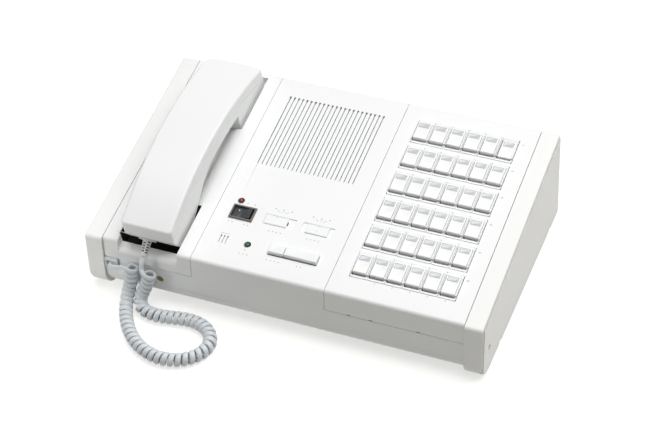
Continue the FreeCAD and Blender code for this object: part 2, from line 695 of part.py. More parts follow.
upper_rounded = rounded(upper_solid, "set_round", top_rim)
inner_top = grip_curve("set_top - shell", "set_top_front - shell", "set_top_back - shell", "shell")
inner_low = grip_curve("part_crown - 4", "part_front - 4", "part_back - 4", "shell")
upper_hollow = common(prism(shell_outline(inner_top, inner_low), *set_width, deck=True),
                      plan_solid("shell", "1.5"))
keep(cut(upper_rounded, upper_hollow), "handset_upper_shell")

PART_GAP = "0.15"
CHIN = "9"  # how far the front of the mouth block slopes back

# the strain relief stands square on that sloping front
CHIN_RISE = "(part_front - %s + set_bottom)" % PART_GAP
CHIN_POINT = "set_front + %s * (part_front - %s - relief_n) / %s" % (CHIN, PART_GAP, CHIN_RISE)
RELIEF_POINT = deck_point("relief_x", CHIN_POINT, "relief_n")
RELIEF_WAY = DECK_TURN.multVec(Vector(0, -value(CHIN_RISE), -value(CHIN)).normalize())


def lower_outline(inset):
    """Mouth block, arched grip and ear block below the parting line."""
    line = grip_curve("part_crown - " + PART_GAP, "part_front - " + PART_GAP, "part_back - " + PART_GAP,
                      inset)
    start, crown, end = line
    floor = "-set_bottom + (%s)" % inset
    return [
        ("set_front + %s + (%s) / 2" % (CHIN, inset), floor),
        ("44 - (%s)" % inset, floor),
        ("60 - (%s)" % inset, "3 + (%s)" % inset, "-62"),
        ("104", "arch_top + (%s)" % inset, "-300"),
        ("grip_back + 2 + (%s)" % inset, "ear_step + (%s)" % inset),
        ("grip_back + 2 + (%s)" % inset, floor),
        ("set_back - 1.5 - (%s)" % inset, floor),
        end[:2] + (crown[2],),
        crown[:2] + (start[2],),
        start[:2],
    ]


lower_solid = common(prism(lower_outline("0"), *set_width, deck=True), plan_solid("0.0001", "3.5"))
lower_hollow = common(prism(lower_outline("shell"), *set_width, deck=True), plan_solid("shell", "1.5"))
over_parting = common(prism(shell_outline(grip_curve("part_crown + 3", "part_front + 3", "part_back + 3",
                                                     "shell"),
                                          grip_curve("part_crown - 5", "part_front - 5", "part_back - 5",
                                                     "shell")),
                            *set_width, deck=True), plan_solid("shell", "1.5"))
sound_holes = [pillar("receiver_x + %.3f" % (7 * math.cos(turn)), "receiver_v + %.3f" % (7 * math.sin(turn)),
                      "-set_bottom - 1", "-set_bottom + shell + 1", "1.2")
               for turn in [math.radians(45 + 60 * step) for step in range(6)]]
speech_slots = [box(("receiver_x - 5", "receiver_x + 5"), ("%d" % along, "%d + 1.4" % along),
                    ("-set_bottom - 1", "-set_bottom + shell + 1"), deck=True) for along in (22, 27, 32)]
relief_hole = doc.addObject("Part::Cylinder", "relief_hole")
relief_hole.setExpression("Radius", bind("relief_stub + 0.05"))
relief_hole.Height = 16
relief_hole.Placement = Placement(RELIEF_POINT - RELIEF_WAY * 8, Rotation(Vector(0, 0, 1), RELIEF_WAY))
keep(cut(lower_solid, lower_hollow, over_parting, relief_hole, *sound_holes, *speech_slots),
     "handset_lower_shell")

# ---------------------------------------------------------------- handset capsules

receiver = fuse(pillar("receiver_x", "receiver_v", "-set_bottom + shell", "3.4", "receiver_radius"),
                pillar("receiver_x", "receiver_v", "3.4", "6.4", "receiver_radius * 0.6"))
transmitter = fuse(pillar("receiver_x", "transmitter_v", "-set_bottom + shell", "3",
                          "transmitter_radius"),
                   pillar("receiver_x", "transmitter_v", "3", "4.5", "transmitter_radius * 0.7"))
keep(group(receiver, transmitter), "handset_capsules")

# ---------------------------------------------------------------- strain relief

relief = doc.addObject("PartDesign::Body", "strain_relief")
relief_sketch = relief.newObject("Sketcher::SketchObject", "relief_profile")
relief_sketch.AttachmentSupport = body_plane(relief, "XZ_Plane")
relief_sketch.MapMode = "FlatFace"
# stub in the shell, taper down to the cord
sketch_outline(relief_sketch, [("0", "-3"), ("relief_stub", "-3"), ("relief_stub", "0"),
                               ("relief_base", "0"), ("relief_tip", "relief_length"),
                               ("0", "relief_length")])
relief_spin = relief.newObject("PartDesign::Revolution", "relief_spin")
relief_spin.Profile = relief_sketch
relief_spin.ReferenceAxis = (relief_sketch, ["V_Axis"])
relief_spin.Angle = 360
plate_x = ("-relief_plate / 2", "relief_plate / 2")
plate_y = ("-relief_plate_depth / 2", "relief_plate_depth / 2")
relief_foot = relief.newObject("PartDesign::Pad", "relief_foot")
relief_foot.Profile = body_sketch(relief, "foot_plan", rectangle(plate_x, plate_y), "0")
relief_foot.Length = 1.6
relief.Placement = Placement(RELIEF_POINT, Rotation(Vector(0, 0, 1), RELIEF_WAY))
keep(relief, "handset_strain_relief")

# ---------------------------------------------------------------- key panel

key_space = panel_space("seam_right", "body_half - seam / 2", "-seam / 2")
row_openings = []
for row in range(6):
    rear = "first_key_v - %d * row_pitch" % row
    row_openings.append(box(("first_key_x - frame_gap / 2", "first_key_x + 6 * key_pitch + frame_gap / 2"),
                            (rear + " - cell_depth - frame_front - row_gap", rear + " + row_gap"),
                            ("-wall - 1", "1"), deck=True))
key_posts = [pillar(x, v, "-16", "-wall + 0.5", "3") for x in ("52", "162") for v in ("16", "111", "206")]
# slots at the apron's lower edge, over the clips that hold the panel
clip_slots = [box((centre + " - clip_slot / 2", centre + " + clip_slot / 2"), (IN_FRONT, "front_edge_y + 5"),
                  ("apron_bottom - 1", "apron_bottom + 0.9"))
              for centre in ("65.6", "85.7", "128.7")]
key_shell = fuse(common(cut(body_solid, body_hollow), key_space), *key_posts)
keep(cut(key_shell, *row_openings, *clip_slots), "key_panel")

# ---------------------------------------------------------------- clear key frames

upright = lambda edge: runs_along(edge, DECK_NORMAL)
cell_rings = []
cell_holes = []
for column in range(6):
    cell = "first_key_x + %d * key_pitch" % column
    ring = box((cell + " + frame_gap / 2", cell + " + key_pitch - frame_gap / 2"),
               ("first_key_v - cell_depth - frame_front", "first_key_v"), ("-frame_low", "frame_top"),
               deck=True)
    cell_rings.append(rounded(ring, "frame_corner", upright))
    hole = box((cell + " + (key_pitch - key_width) / 2 - 0.3", cell + " + (key_pitch + key_width) / 2 + 0.3"),
               ("first_key_v - cell_depth", "first_key_v - cell_depth + key_front_gap + key_depth + 0.3"),
               ("-frame_low - 1", "frame_top + 1"), deck=True)
    cell_holes.append(rounded(hole, "0.8", upright))
# two low rails join the rings of a row
frame_rails = [box(("first_key_x + frame_gap", "first_key_x + 6 * key_pitch - frame_gap"), span,
                   ("-frame_low", "-frame_low + 1.2"), deck=True)
               for span in (("first_key_v - cell_depth - frame_front + 0.1", "first_key_v - cell_depth - 0.1"),
                            ("first_key_v - 2.4", "first_key_v - 0.1"))]
key_frame = cut(fuse(*cell_rings, *frame_rails), *cell_holes)
frame_rows = []
for row in range(6):
    frame_row = group(key_frame)
    frame_row.setExpression("Placement.Base.y", bind("-%d * row_pitch * cos(deck_tilt)" % row))
    frame_row.setExpression("Placement.Base.z", bind("-%d * row_pitch * sin(deck_tilt)" % row))
    frame_rows.append(frame_row)
keep(group(*frame_rows), "key_frames")

# ---------------------------------------------------------------- station keys

key_body = doc.addObject("PartDesign::Body", "key_cap")

# the cap's own origin is the front left corner of its cell, at deck level
key_x = ("(key_pitch - key_width) / 2", "(key_pitch + key_width) / 2")
key_y = ("key_front_gap", "key_front_gap + key_depth")
key_pad = key_body.newObject("PartDesign::Pad", "key_pad")
key_pad.Profile = body_sketch(key_body, "key_plan", rectangle(key_x, key_y), "-key_skirt")
key_pad.setExpression("Length", bind("key_top + key_skirt"))
doc.recompute()
key_rims = ["Edge%d" % number for number, edge in enumerate(key_pad.Shape.Edges, start=1)
            if middle(edge).z > value("key_top") - 0.01]
key_soft = key_body.newObject("PartDesign::Fillet", "key_soft")
key_soft.Base = (key_pad, key_rims)
key_soft.Radius = 0.7
window_rear = "key_front_gap + key_depth - window_rear"
window_y = (window_rear + " - window_depth", window_rear)
window_x = ("(key_pitch - key_width) / 2 + window_side", "(key_pitch + key_width) / 2 - window_side")
key_sunk = key_body.newObject("PartDesign::Pocket", "key_window_seat")
key_sunk.Profile = body_sketch(key_body, "window_plan", rectangle(window_x, window_y), "key_top")
key_sunk.setExpression("Length", bind("window_sunk"))
key_hollow = key_body.newObject("PartDesign::Pocket", "key_hollow")
key_hollow.Profile = body_sketch(key_body, "hollow_plan",
                                 rectangle(("(key_pitch - key_width) / 2 + key_wall",
                                            "(key_pitch + key_width) / 2 - key_wall"),
                                           ("key_front_gap + key_wall",
                                            "key_front_gap + key_depth - key_wall")), "-key_skirt")
key_hollow.Reversed = True
key_hollow.setExpression("Length", bind("key_skirt + key_top - window_sunk - key_wall"))
key_stem = key_body.newObject("PartDesign::Pad", "key_stem")
key_stem.Profile = body_sketch(key_body, "stem_plan",
                               rectangle(("key_pitch / 2 - 1.6", "key_pitch / 2 + 1.6"), ("8", "11.2")),
                               "-key_skirt - 5")
key_stem.setExpression("Length", bind("key_skirt + 5 + 1.2"))
window_lens = doc.addObject("Part::Box", "window_lens")
window_lens.setExpression("Length", bind("key_width - 2 * window_side - 0.1"))
window_lens.setExpression("Width", bind("window_depth - 0.1"))
window_lens.setExpression("Height", bind("window_sunk - 0.1"))
for axis, text in zip("xyz", (window_x[0] + " + 0.05", window_y[0] + " + 0.05",
                              "key_top - window_sunk + 0.05")):
    window_lens.setExpression("Placement.Base." + axis, bind(text))
doc.recompute()
solid_key = value("key_width * key_depth * (key_top + key_skirt)")
if not 0.2 * solid_key < key_body.Shape.Volume < 0.75 * solid_key:
    raise RuntimeError("a key cap is not hollow")
for row in range(6):
    for column in range(6):
        latched = row == 0 and column == 5
        key = group(key_body, window_lens)
        corner = on_deck("first_key_x + %d * key_pitch" % column,
                         "first_key_v - cell_depth - %d * row_pitch" % row,
                         "-latch_depth" if latched else "0")
        put(key, corner, True)
        keep(key, "key_r%d_c%d" % (row + 1, column + 1))

# ---------------------------------------------------------------- power switch

bezel = box(("power_x - bezel_width / 2", "power_x + bezel_width / 2"),
            ("power_v - bezel_depth / 2", "power_v + bezel_depth / 2"), ("0.05", "bezel_top"), deck=True)
bezel_rim = lambda edge: local(middle(edge)).z > value("bezel_top") - 0.02
bezel = rounded(bezel, "0.6", bezel_rim)
switch_box = box(("power_x - 10.4", "power_x + 10.4"), ("power_v - 6.9", "power_v + 6.9"),
                 ("-14", "0.5"), deck=True)
switch_mouth = box(("power_x - 9.7", "power_x + 9.7"), ("power_v - 6.1", "power_v + 6.1"),
                   ("-12", "5"), deck=True)
blades = [box(("power_x + %d - 0.4" % offset, "power_x + %d + 0.4" % offset),
              ("power_v - 2.4", "power_v + 2.4"), ("-14.9", "-13.5"), deck=True) for offset in (-6, 0, 6)]
keep(cut(fuse(bezel, switch_box, *blades), switch_mouth), "power_switch_body")

ROCK_ANGLE = 9.0
ROCKER_PIVOT = "-3"
# side view across x: two faces meet in a shallow V over the pivot
rocker_profile = [(-8.9, -1.0), (-3.6, -6.4), (3.6, -6.4), (8.9, -1.0), (8.9, 4.6), (0.0, 3.2), (-8.9, 4.6)]
rocker = doc.addObject("PartDesign::Body", "rocker")
rocker_sketch = rocker.newObject("Sketcher::SketchObject", "rocker_profile")
rocker_sketch.AttachmentSupport = body_plane(rocker, "XZ_Plane")
rocker_sketch.MapMode = "FlatFace"
sketch_outline(rocker_sketch, [(str(px), str(pz)) for px, pz in rocker_profile])
rocker_pad = rocker.newObject("PartDesign::Pad", "rocker_pad")
rocker_pad.Profile = rocker_sketch
rocker_pad.Length = 11.4
rocker_pad.Midplane = True
rocker.Placement = Placement(deck_point("power_x", "power_v", ROCKER_PIVOT),
                             DECK_TURN * Rotation(Vector(0, 1, 0), -ROCK_ANGLE))
keep(rocker, "power_rocker")


# ---------------------------------------------------------------- selectors

def selector(centre, label):
    """A slider cap with a fine groove across its middle and a stem through its slot."""
    cap = box((centre + " - slider_length / 2", centre + " + slider_length / 2"),
              ("select_v - select_depth / 2 + 0.4", "select_v + select_depth / 2 - 0.4"),
              ("-select_sunk + 0.15", "slider_top"), deck=True)
    edges = lambda edge: local(middle(edge)).z > value("slider_top") - 0.02
    cap = rounded(cap, "0.5", edges)
    groove = box((centre + " - 0.2", centre + " + 0.2"), ("select_v - 4.2", "select_v + 4.2"),
                 ("slider_top - 0.35", "slider_top + 1"), deck=True)
    stem = box((centre + " - 3", centre + " + 3"), ("select_v - 1.6", "select_v + 1.6"),
               ("-4.6", "0"), deck=True)
    keep(fuse(cut(cap, groove), stem), label)


selector("select_left - slider_offset", "selector_slider_left")
selector("select_right", "selector_slider_right")


# ---------------------------------------------------------------- call and talk keys

def bar_key(low, high, label):
    cap = box((low, high), ("bar_front", "bar_front + bar_depth"), ("-6", "bar_top"), deck=True)
    edges = lambda edge: local(middle(edge)).z > value("bar_top") - 0.02
    cap = rounded(cap, "0.8", edges)
    foot = box((low, high), ("bar_front - bar_slit - 0.8", "bar_front + bar_depth + 1.2"), ("-6", "-4.8"),
               deck=True)
    keep(fuse(cap, foot), label)


bar_key("call_left", "call_right", "call_key")
bar_key("talk_left", "talk_right", "talk_key")


# ---------------------------------------------------------------- indicator lamps

def lamp(name):
    """A domed lamp in a raised ring."""
    stem = pillar(name + "_x", name + "_v", "-6", "lamp_dome", "lamp_radius")
    dome = doc.addObject("Part::Sphere", "dome")
    dome.setExpression("Radius", bind("lamp_radius"))
    put(dome, on_deck(name + "_x", name + "_v", "lamp_dome"), True)
    ring = cut(pillar(name + "_x", name + "_v", "-2.4", "0.5", "lamp_radius + 0.8"),
               pillar(name + "_x", name + "_v", "-3", "1", "lamp_radius - 0.3"))
    return fuse(stem, dome, ring)


keep(group(lamp("red_lamp"), lamp("green_lamp")), "indicator_lamps")

# ---------------------------------------------------------------- loudspeaker

SPEAKER_X = "(grille_x + 11 * slot_pitch)"
SPEAKER_V = "(grille_front + grille_back) / 2"
speaker_body = doc.addObject("PartDesign::Body", "loudspeaker")
speaker_sketch = speaker_body.newObject("Sketcher::SketchObject", "speaker_profile")
speaker_sketch.AttachmentSupport = body_plane(speaker_body, "XZ_Plane")
speaker_sketch.MapMode = "FlatFace"
# basket rim, cone basket, magnet
sketch_outline(speaker_sketch, [("0", "-30"), ("22", "-30"), ("22", "-19"), ("16", "-19"),
                                ("speaker_radius - 6", "-5"), ("speaker_radius", "-5"),
                                ("speaker_radius", "-wall"), ("speaker_radius - 5", "-wall"),
                                ("10", "-15"), ("0", "-13")])
speaker_spin = speaker_body.newObject("PartDesign::Revolution", "speaker_spin")
speaker_spin.Profile = speaker_sketch
speaker_spin.ReferenceAxis = (speaker_sketch, ["V_Axis"])
speaker_spin.Angle = 360
put(speaker_body, on_deck(SPEAKER_X, SPEAKER_V, "0"), True)
keep(speaker_body, "speaker")

# ---------------------------------------------------------------- circuit boards and what is on them

board_parts = [
    box(("-80", "39"), ("12", "104"), ("-16.6", "-15"), deck=True),
    box(("49", "166"), ("12", "212"), ("-17.6", "-16"), deck=True),
    pillar("mic_x + mic_pitch", "28", "-14.9", "-3", "4.5"),
    box(("call_left", "talk_right"), ("bar_front", "bar_front + bar_depth"), ("-14.9", "-9"), deck=True),
    box(("receiver_x - 9", "receiver_x + 9"), ("receiver_v - 6", "receiver_v + 6"), ("-36", "-25"),
        deck=True),
    box(("jack_left + 2.2", "jack_right - 0.5"), ("front_edge_y + 4.5", "front_edge_y + 20"),
        ("jack_low + 0.5", "apron_bottom - 1")),
    box(("-130", "-90"), ("front_edge_y + 120", "front_edge_y + 160"), ("body_bottom + wall", "38")),
]
for centre in ("select_left", "select_right"):
    board_parts.append(box((centre + " - 12", centre + " + 12"), ("select_v - 4", "select_v + 4"),
                           ("-14.9", "-5.2"), deck=True))
REAR_FACE = "front_edge_y + deck_length * cos(deck_tilt)"
for left in CONNECTORS:
    socket = box((left + " + 0.5", left + " + 45.5"), (REAR_FACE + " - 16", REAR_FACE + " - 0.5"),
                 ("22.5", "36.5"))
    mouth = box((left + " + 3.5", left + " + 42.5"), (REAR_FACE + " - 9", REAR_FACE), ("25", "34"))
    tongue = box((left + " + 6", left + " + 40"), (REAR_FACE + " - 10", REAR_FACE + " - 2.5"),
                 ("27.6", "31.4"))
    board_parts.append(fuse(cut(socket, mouth), tongue))
for row in range(6):
    for column in range(6):
        cell_x = "first_key_x + (%d + 0.5) * key_pitch" % column
        cell_v = "first_key_v - cell_depth - %d * row_pitch + 9.6" % row
        board_parts.append(box((cell_x + " - 3", cell_x + " + 3"), (cell_v + " - 3", cell_v + " + 3"),
                               ("-15.9", "-12.6"), deck=True))
keep(group(*board_parts), "circuit_boards")


# ---------------------------------------------------------------- screws

def screw(start, direction, length):
    """A pan head with a cross recess on a plain shank; start is the top of the head."""
    axis = Vector(*direction)
    turn = Rotation(Vector(0, 0, 1), axis)
    head = rod(start, direction, "2", "screw_head")
    shank = rod(start, direction, length, "screw_shank")
    cross = []
    for long_x in (True, False):
        blade = doc.addObject("Part::Box", "blade")
        reach, thin = 4.0, 0.9
        blade.Length = reach if long_x else thin
        blade.Width = thin if long_x else reach
        blade.Height = 2.0
        shift = turn.multVec(Vector(-blade.Length.Value / 2, -blade.Width.Value / 2, -1))
        blade.Placement = Placement(Vector(*[value(text) for text in start]) + shift, turn)
        cross.append(blade)
    return cut(fuse(head, shank), *cross)


screws = [screw(("front_screw_x", "front_edge_y - (front_height - front_screw_z) * tan(front_lean) + 0.2",
                 "front_screw_z"), (0, 1, 0), "12")]
for side in (-1, 1):
    head_x = "%d * (body_half + cap_width - cap_sink + 2)" % side
    screws.append(screw((head_x, "front_edge_y + cap_screw_v", "cap_screw_z"), (-side, 0, 0),
                        "cap_width - cap_sink + 4"))
    screws.append(screw(("%d * (body_half - seam / 2 - wall - 2.1)" % side, "front_edge_y + 196",
                         "cap_screw_z"), (side, 0, 0), "14"))
for side, along in BASE_BOSSES:
    screws.append(screw((side, "front_edge_y + " + along, "body_bottom"), (0, 0, 1), "15"))
keep(group(*screws), "screws")

# ---------------------------------------------------------------- handset cord

# The route runs from the handset's strain relief to the jack; its middle stretch is the curly
# part, which hangs down the front and lies on the desk.
HANDSET_LEAD = [(-127.4, -114.3, 55.9), (-127.4, -117.6, 53.2), (-128.3, -119.0, 48.0),
                (-128.0, -119.6, 42.4), (-125.2, -119.6, 37.8)]
CURLY_ROUTE = [
    (-120.9, -119.4, 41.2), (-124.0, -119.8, 30.0), (-128.2, -120.8, 20.0), (-131.4, -123.8, 12.6),
    (-129.2, -129.4, 7.6), (-121.2, -133.8, 6.5), (-109.6, -134.8, 6.5), (-96.0, -132.6, 6.5),
    (-83.0, -130.4, 6.5), (-69.6, -131.4, 6.5), (-57.0, -138.4, 6.5), (-50.2, -151.6, 6.5),
    (-54.8, -166.4, 6.5), (-68.0, -177.4, 6.5), (-85.0, -181.0, 6.5), (-101.6, -177.6, 6.5),
    (-117.0, -168.8, 6.5), (-129.4, -155.8, 6.5), (-137.8, -143.0, 6.6), (-142.6, -131.8, 8.4),
    (-143.4, -123.8, 15.4), (-140.6, -120.0, 26.0), (-138.2, -119.4, 44.2),
]
JACK_LEAD = [(-143.0, -120.2, 41.2), (-149.4, -120.8, 40.9), (-155.6, -120.6, 39.9),
             (-160.4, -119.4, 38.0), (-162.6, -117.4, 36.4), (-162.6, -114.2, 35.8)]


def rounded_path(points):
    """Straight runs joined by tangent arcs; prints each bend's radius."""
    spots = [Vector(*point) for point in points]
    edges = []
    length = 0.0
    start = spots[0]
    radii = []
    for before, corner, after in zip(spots, spots[1:], spots[2:]):
        back = (before - corner).normalize()
        ahead = (after - corner).normalize()
        turn = math.pi - back.getAngle(ahead)
        run = min((before - corner).Length, (after - corner).Length)
        radius = 0.45 * run / math.tan(turn / 2)
        inset = 0.45 * run
        centre_way = (back + ahead).normalize()
        centre = corner + centre_way * (radius / math.cos(turn / 2))
        first = corner + back * inset
        last = corner + ahead * inset
        edges.append(Part.LineSegment(start, first).toShape())
        edges.append(Part.Arc(first, centre - centre_way * radius, last).toShape())
        length += (first - start).Length + radius * turn
        start = last
        radii.append(radius)
    edges.append(Part.LineSegment(start, spots[-1]).toShape())
    length += (spots[-1] - start).Length
    print("bend radii, mm:", " ".join("%.1f" % radius for radius in radii))
    return Part.Wire(edges), length


def tube(points, diameter, name):
    """A round tube along a route, with its volume compared with section times length."""
    path, length = rounded_path(points)
    start = path.Edges[0].valueAt(path.Edges[0].FirstParameter)
    tangent = path.Edges[0].tangentAt(path.Edges[0].FirstParameter)
    section = Part.Wire([Part.Circle(start, tangent, diameter / 2).toShape()])
    solid = path.makePipeShell([section], True, False)
    expected = math.pi * diameter ** 2 / 4 * length
    print("%s: length %.1f mm, volume %.0f of %.0f mm3" % (name, length, solid.Volume, expected))
    if abs(solid.Volume / expected - 1) > 0.02:
        raise RuntimeError(name + " is not a plain tube")
    return solid


curl = tube(CURLY_ROUTE, value("coil_diameter"), "curly stretch")
leads = [tube(HANDSET_LEAD, value("lead_diameter"), "handset lead"),
         tube(JACK_LEAD, value("lead_diameter"), "jack lead")]
cord = doc.addObject("Part::Feature", "cord")
cord.Shape = curl.fuse(leads).removeSplitter()
keep(cord, "handset_cord")

plug_front = "front_edge_y - 5"
plug = box(("jack_left + 0.6", "jack_right - 1.2"), (plug_front, "front_edge_y + 3.8"),
           ("jack_low + 1.5", "apron_bottom - 0.4"))
plug_edges = lambda edge: abs(middle(edge).y - value(plug_front)) < 0.02
keep(rounded(plug, "1.0", plug_edges), "cord_plug")

# ---------------------------------------------------------------- check and write

doc.recompute()
for item in doc.Objects:
    if any(flag in item.State for flag in ("Invalid", "Error")):
        raise RuntimeError("%s (%s) failed: %s" % (item.Name, item.Label, item.State))
os.makedirs("parts", exist_ok=True)
whole = FreeCAD.BoundBox()
for piece in nodes:
    shape = piece.Shape
    if shape.isNull() or not shape.isValid() or not shape.Solids:
        raise RuntimeError(piece.Label + " has no valid solid")
    if piece.Label not in ("handset_cord", "cord_plug"):
        whole.add(shape.BoundBox)
    shape.exportStep("parts/%s.step" % piece.Label)
    if not piece.Label.startswith("key_r"):
        print("%-24s %2d solids %9.0f mm3" % (piece.Label, len(shape.Solids), shape.Volume))
print("nodes:", len(nodes))
print("box without the cord: %s" % whole)
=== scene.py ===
"""Dresses a desk intercom master station: its mouldings, keys, lamps, switches, cord and studio.

Sizes are in millimetres and are turned to scene units by MM. Most pieces are shaped in deck
coordinates (x to the right, v up the slope, n outwards) and then laid on the sloping deck.
"""

import json
import logging
import math
from contextlib import contextmanager
from dataclasses import dataclass
from enum import Enum
from typing import Callable, Iterator, Sequence

import bmesh
import bpy
from mathutils import Matrix, Vector
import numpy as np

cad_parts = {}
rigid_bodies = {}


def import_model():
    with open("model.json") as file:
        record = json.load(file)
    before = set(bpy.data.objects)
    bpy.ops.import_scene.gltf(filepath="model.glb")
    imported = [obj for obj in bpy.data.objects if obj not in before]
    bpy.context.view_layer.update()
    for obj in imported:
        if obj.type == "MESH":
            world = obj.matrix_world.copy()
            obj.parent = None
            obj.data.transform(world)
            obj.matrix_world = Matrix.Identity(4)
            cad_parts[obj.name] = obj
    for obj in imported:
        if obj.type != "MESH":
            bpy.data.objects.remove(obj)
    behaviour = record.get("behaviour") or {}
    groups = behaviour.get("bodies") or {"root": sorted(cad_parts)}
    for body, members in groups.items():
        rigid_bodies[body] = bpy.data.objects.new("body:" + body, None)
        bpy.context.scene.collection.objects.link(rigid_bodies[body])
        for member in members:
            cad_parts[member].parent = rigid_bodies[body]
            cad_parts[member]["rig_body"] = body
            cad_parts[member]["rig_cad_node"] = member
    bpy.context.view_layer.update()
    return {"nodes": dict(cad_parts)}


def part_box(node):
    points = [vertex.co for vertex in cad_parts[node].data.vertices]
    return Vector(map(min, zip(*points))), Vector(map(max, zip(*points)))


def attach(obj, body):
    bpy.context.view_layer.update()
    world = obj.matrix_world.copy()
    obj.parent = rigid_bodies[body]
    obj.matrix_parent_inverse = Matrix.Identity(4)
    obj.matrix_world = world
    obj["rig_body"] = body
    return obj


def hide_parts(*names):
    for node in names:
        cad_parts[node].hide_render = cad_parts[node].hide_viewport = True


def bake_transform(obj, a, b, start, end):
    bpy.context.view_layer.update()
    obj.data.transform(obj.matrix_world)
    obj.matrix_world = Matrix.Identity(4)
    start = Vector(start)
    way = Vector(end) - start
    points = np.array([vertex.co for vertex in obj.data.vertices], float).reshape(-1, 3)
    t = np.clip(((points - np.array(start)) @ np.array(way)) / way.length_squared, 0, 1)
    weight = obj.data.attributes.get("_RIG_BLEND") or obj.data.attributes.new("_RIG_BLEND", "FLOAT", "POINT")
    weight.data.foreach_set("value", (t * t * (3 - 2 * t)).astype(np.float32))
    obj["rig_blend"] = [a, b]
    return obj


MM = 0.001
log = logging.getLogger("intercom")

Object = bpy.types.Object
Triple = tuple[float, float, float]


class Body(Enum):
    """The bodies that pieces ride on."""

    HOUSING = "housing"
    HANDSET = "handset"
    HOOK = "hook"
    POWER = "power"
    SELECTOR_LEFT = "selector_left"
    SELECTOR_RIGHT = "selector_right"
    CALL = "call"
    TALK = "talk"


# ---------------------------------------------------------------- finishes

def linear(colour: str) -> tuple[float, ...]:
    """Turn an sRGB hex colour into linear RGBA.

    Args:
        colour: Six hex digits after a hash.

    Returns:
        Red, green, blue and alpha, from 0 to 1.
    """
    parts = [int(colour[start:start + 2], 16) / 255 for start in (1, 3, 5)]
    return tuple(part / 12.92 if part <= 0.04045 else ((part + 0.055) / 1.055) ** 2.4
                 for part in parts) + (1.0,)


def add_node(tree: bpy.types.NodeTree, kind: str, settings: dict | None = None,
             inputs: dict | None = None) -> bpy.types.Node:
    """Add a node with its settings and links.

    Args:
        tree: Node tree that gets the node.
        kind: Type name of the node.
        settings: Properties of the node itself.
        inputs: Socket name or number to a constant, or to an output socket to link.

    Returns:
        The new node.
    """
    node = tree.nodes.new(kind)
    for name, setting in (settings or {}).items():
        setattr(node, name, setting)
    for name, given in (inputs or {}).items():
        if isinstance(given, bpy.types.NodeSocket):
            tree.links.new(given, node.inputs[name])
        else:
            node.inputs[name].default_value = given
    return node


@dataclass(frozen=True)
class Finish:
    """A surface: its colour with a slow drift, its gloss, and a fine relief.

    Attributes:
        name: Name of the material.
        slot: The record's material slot that it stands for; not used.
        colour: sRGB hex colour.
        roughness: Middle roughness; it wanders by a tenth.
        grain: Size of the relief's grain in millimetres.
        relief: Height of the relief in millimetres.
        drift: Share by which the colour darkens in its slow drift.
        drift_size: Size of the drift's patches in millimetres.
        coat: Weight of a clear gloss layer.
        transmission: Share of the light that passes through.
        ior: Refractive index, or None to keep the shader's own.
        metallic: 1 for a metal.
    """

    name: str
    slot: str
    colour: str
    roughness: float
    grain: float = 0.7
    relief: float = 0.008
    drift: float = 0.025
    drift_size: float = 45.0
    coat: float = 0.0
    transmission: float = 0.0
    ior: float | None = None
    metallic: float = 0.0

    def height(self, tree: bpy.types.NodeTree, place: bpy.types.NodeSocket) -> bpy.types.NodeSocket:
        """Lay out the relief's nodes.

        Args:
            tree: Node tree of the material.
            place: Coordinates on the piece, in metres.

        Returns:
            The socket that gives the height, from 0 to 1.
        """
        grain = add_node(tree, "ShaderNodeTexNoise", {}, {
            "Vector": place, "Scale": 1 / (self.grain * MM), "Detail": 3.0, "Roughness": 0.6})
        return grain.outputs[0]

    def material(self) -> bpy.types.Material:
        """Give the material, made on first use.

        Returns:
            The material with this finish's name.
        """
        made = bpy.data.materials.get(self.name)
        if made:
            return made
        made = bpy.data.materials.new(self.name)
        made.use_nodes = True
        tree = made.node_tree
        tree.nodes.clear()
        place = add_node(tree, "ShaderNodeTexCoord").outputs["Object"]
        patches = add_node(tree, "ShaderNodeTexNoise", {}, {
            "Vector": place, "Scale": 1 / (self.drift_size * MM), "Detail": 4.0, "Roughness": 0.55})
        light = linear(self.colour)
        dark = tuple(part * (1 - self.drift) for part in light[:3]) + (1.0,)
        tint = add_node(tree, "ShaderNodeMix", {"data_type": "RGBA"},
                        {0: patches.outputs[0], 6: light, 7: dark})
        gloss = add_node(tree, "ShaderNodeMapRange", {}, {
            "Value": patches.outputs[0], "To Min": self.roughness * 0.9, "To Max": self.roughness * 1.1})
        bump = add_node(tree, "ShaderNodeBump", {}, {
            "Height": self.height(tree, place), "Strength": 1.0, "Distance": self.relief * MM})
        inputs = {
            "Base Color": tint.outputs[2], "Roughness": gloss.outputs["Result"],
            "Normal": bump.outputs["Normal"], "Metallic": self.metallic, "Coat Weight": self.coat,
            "Transmission Weight": self.transmission}
        if self.ior:
            inputs["IOR"] = self.ior
        shader = add_node(tree, "ShaderNodeBsdfPrincipled", {}, inputs)
        add_node(tree, "ShaderNodeOutputMaterial", {}, {"Surface": shader.outputs["BSDF"]})
        return made


@dataclass(frozen=True)
class RingedPaper(Finish):
    """Pressed paper with rings about its axis, such as a loudspeaker's cone."""

    centre: Triple = (0.0, 0.0, 0.0)
    ring: float = 3.0

    def height(self, tree: bpy.types.NodeTree, place: bpy.types.NodeSocket) -> bpy.types.NodeSocket:
        """Lay out rings about the cone's axis; see Finish.height.

        Args:
            tree: Node tree of the material.
            place: Coordinates on the piece, in metres.

        Returns:
            The socket that gives the height, from 0 to 1.
        """
        centred = add_node(tree, "ShaderNodeMapping", {}, {
            "Vector": place, "Location": tuple(-part * MM for part in self.centre)})
        rings = add_node(tree, "ShaderNodeTexWave", {"wave_type": "RINGS", "rings_direction": "Z"}, {
            "Vector": centred.outputs[0], "Scale": 1 / (20 * self.ring * MM), "Distortion": 0.4})
        return rings.outputs["Fac"]


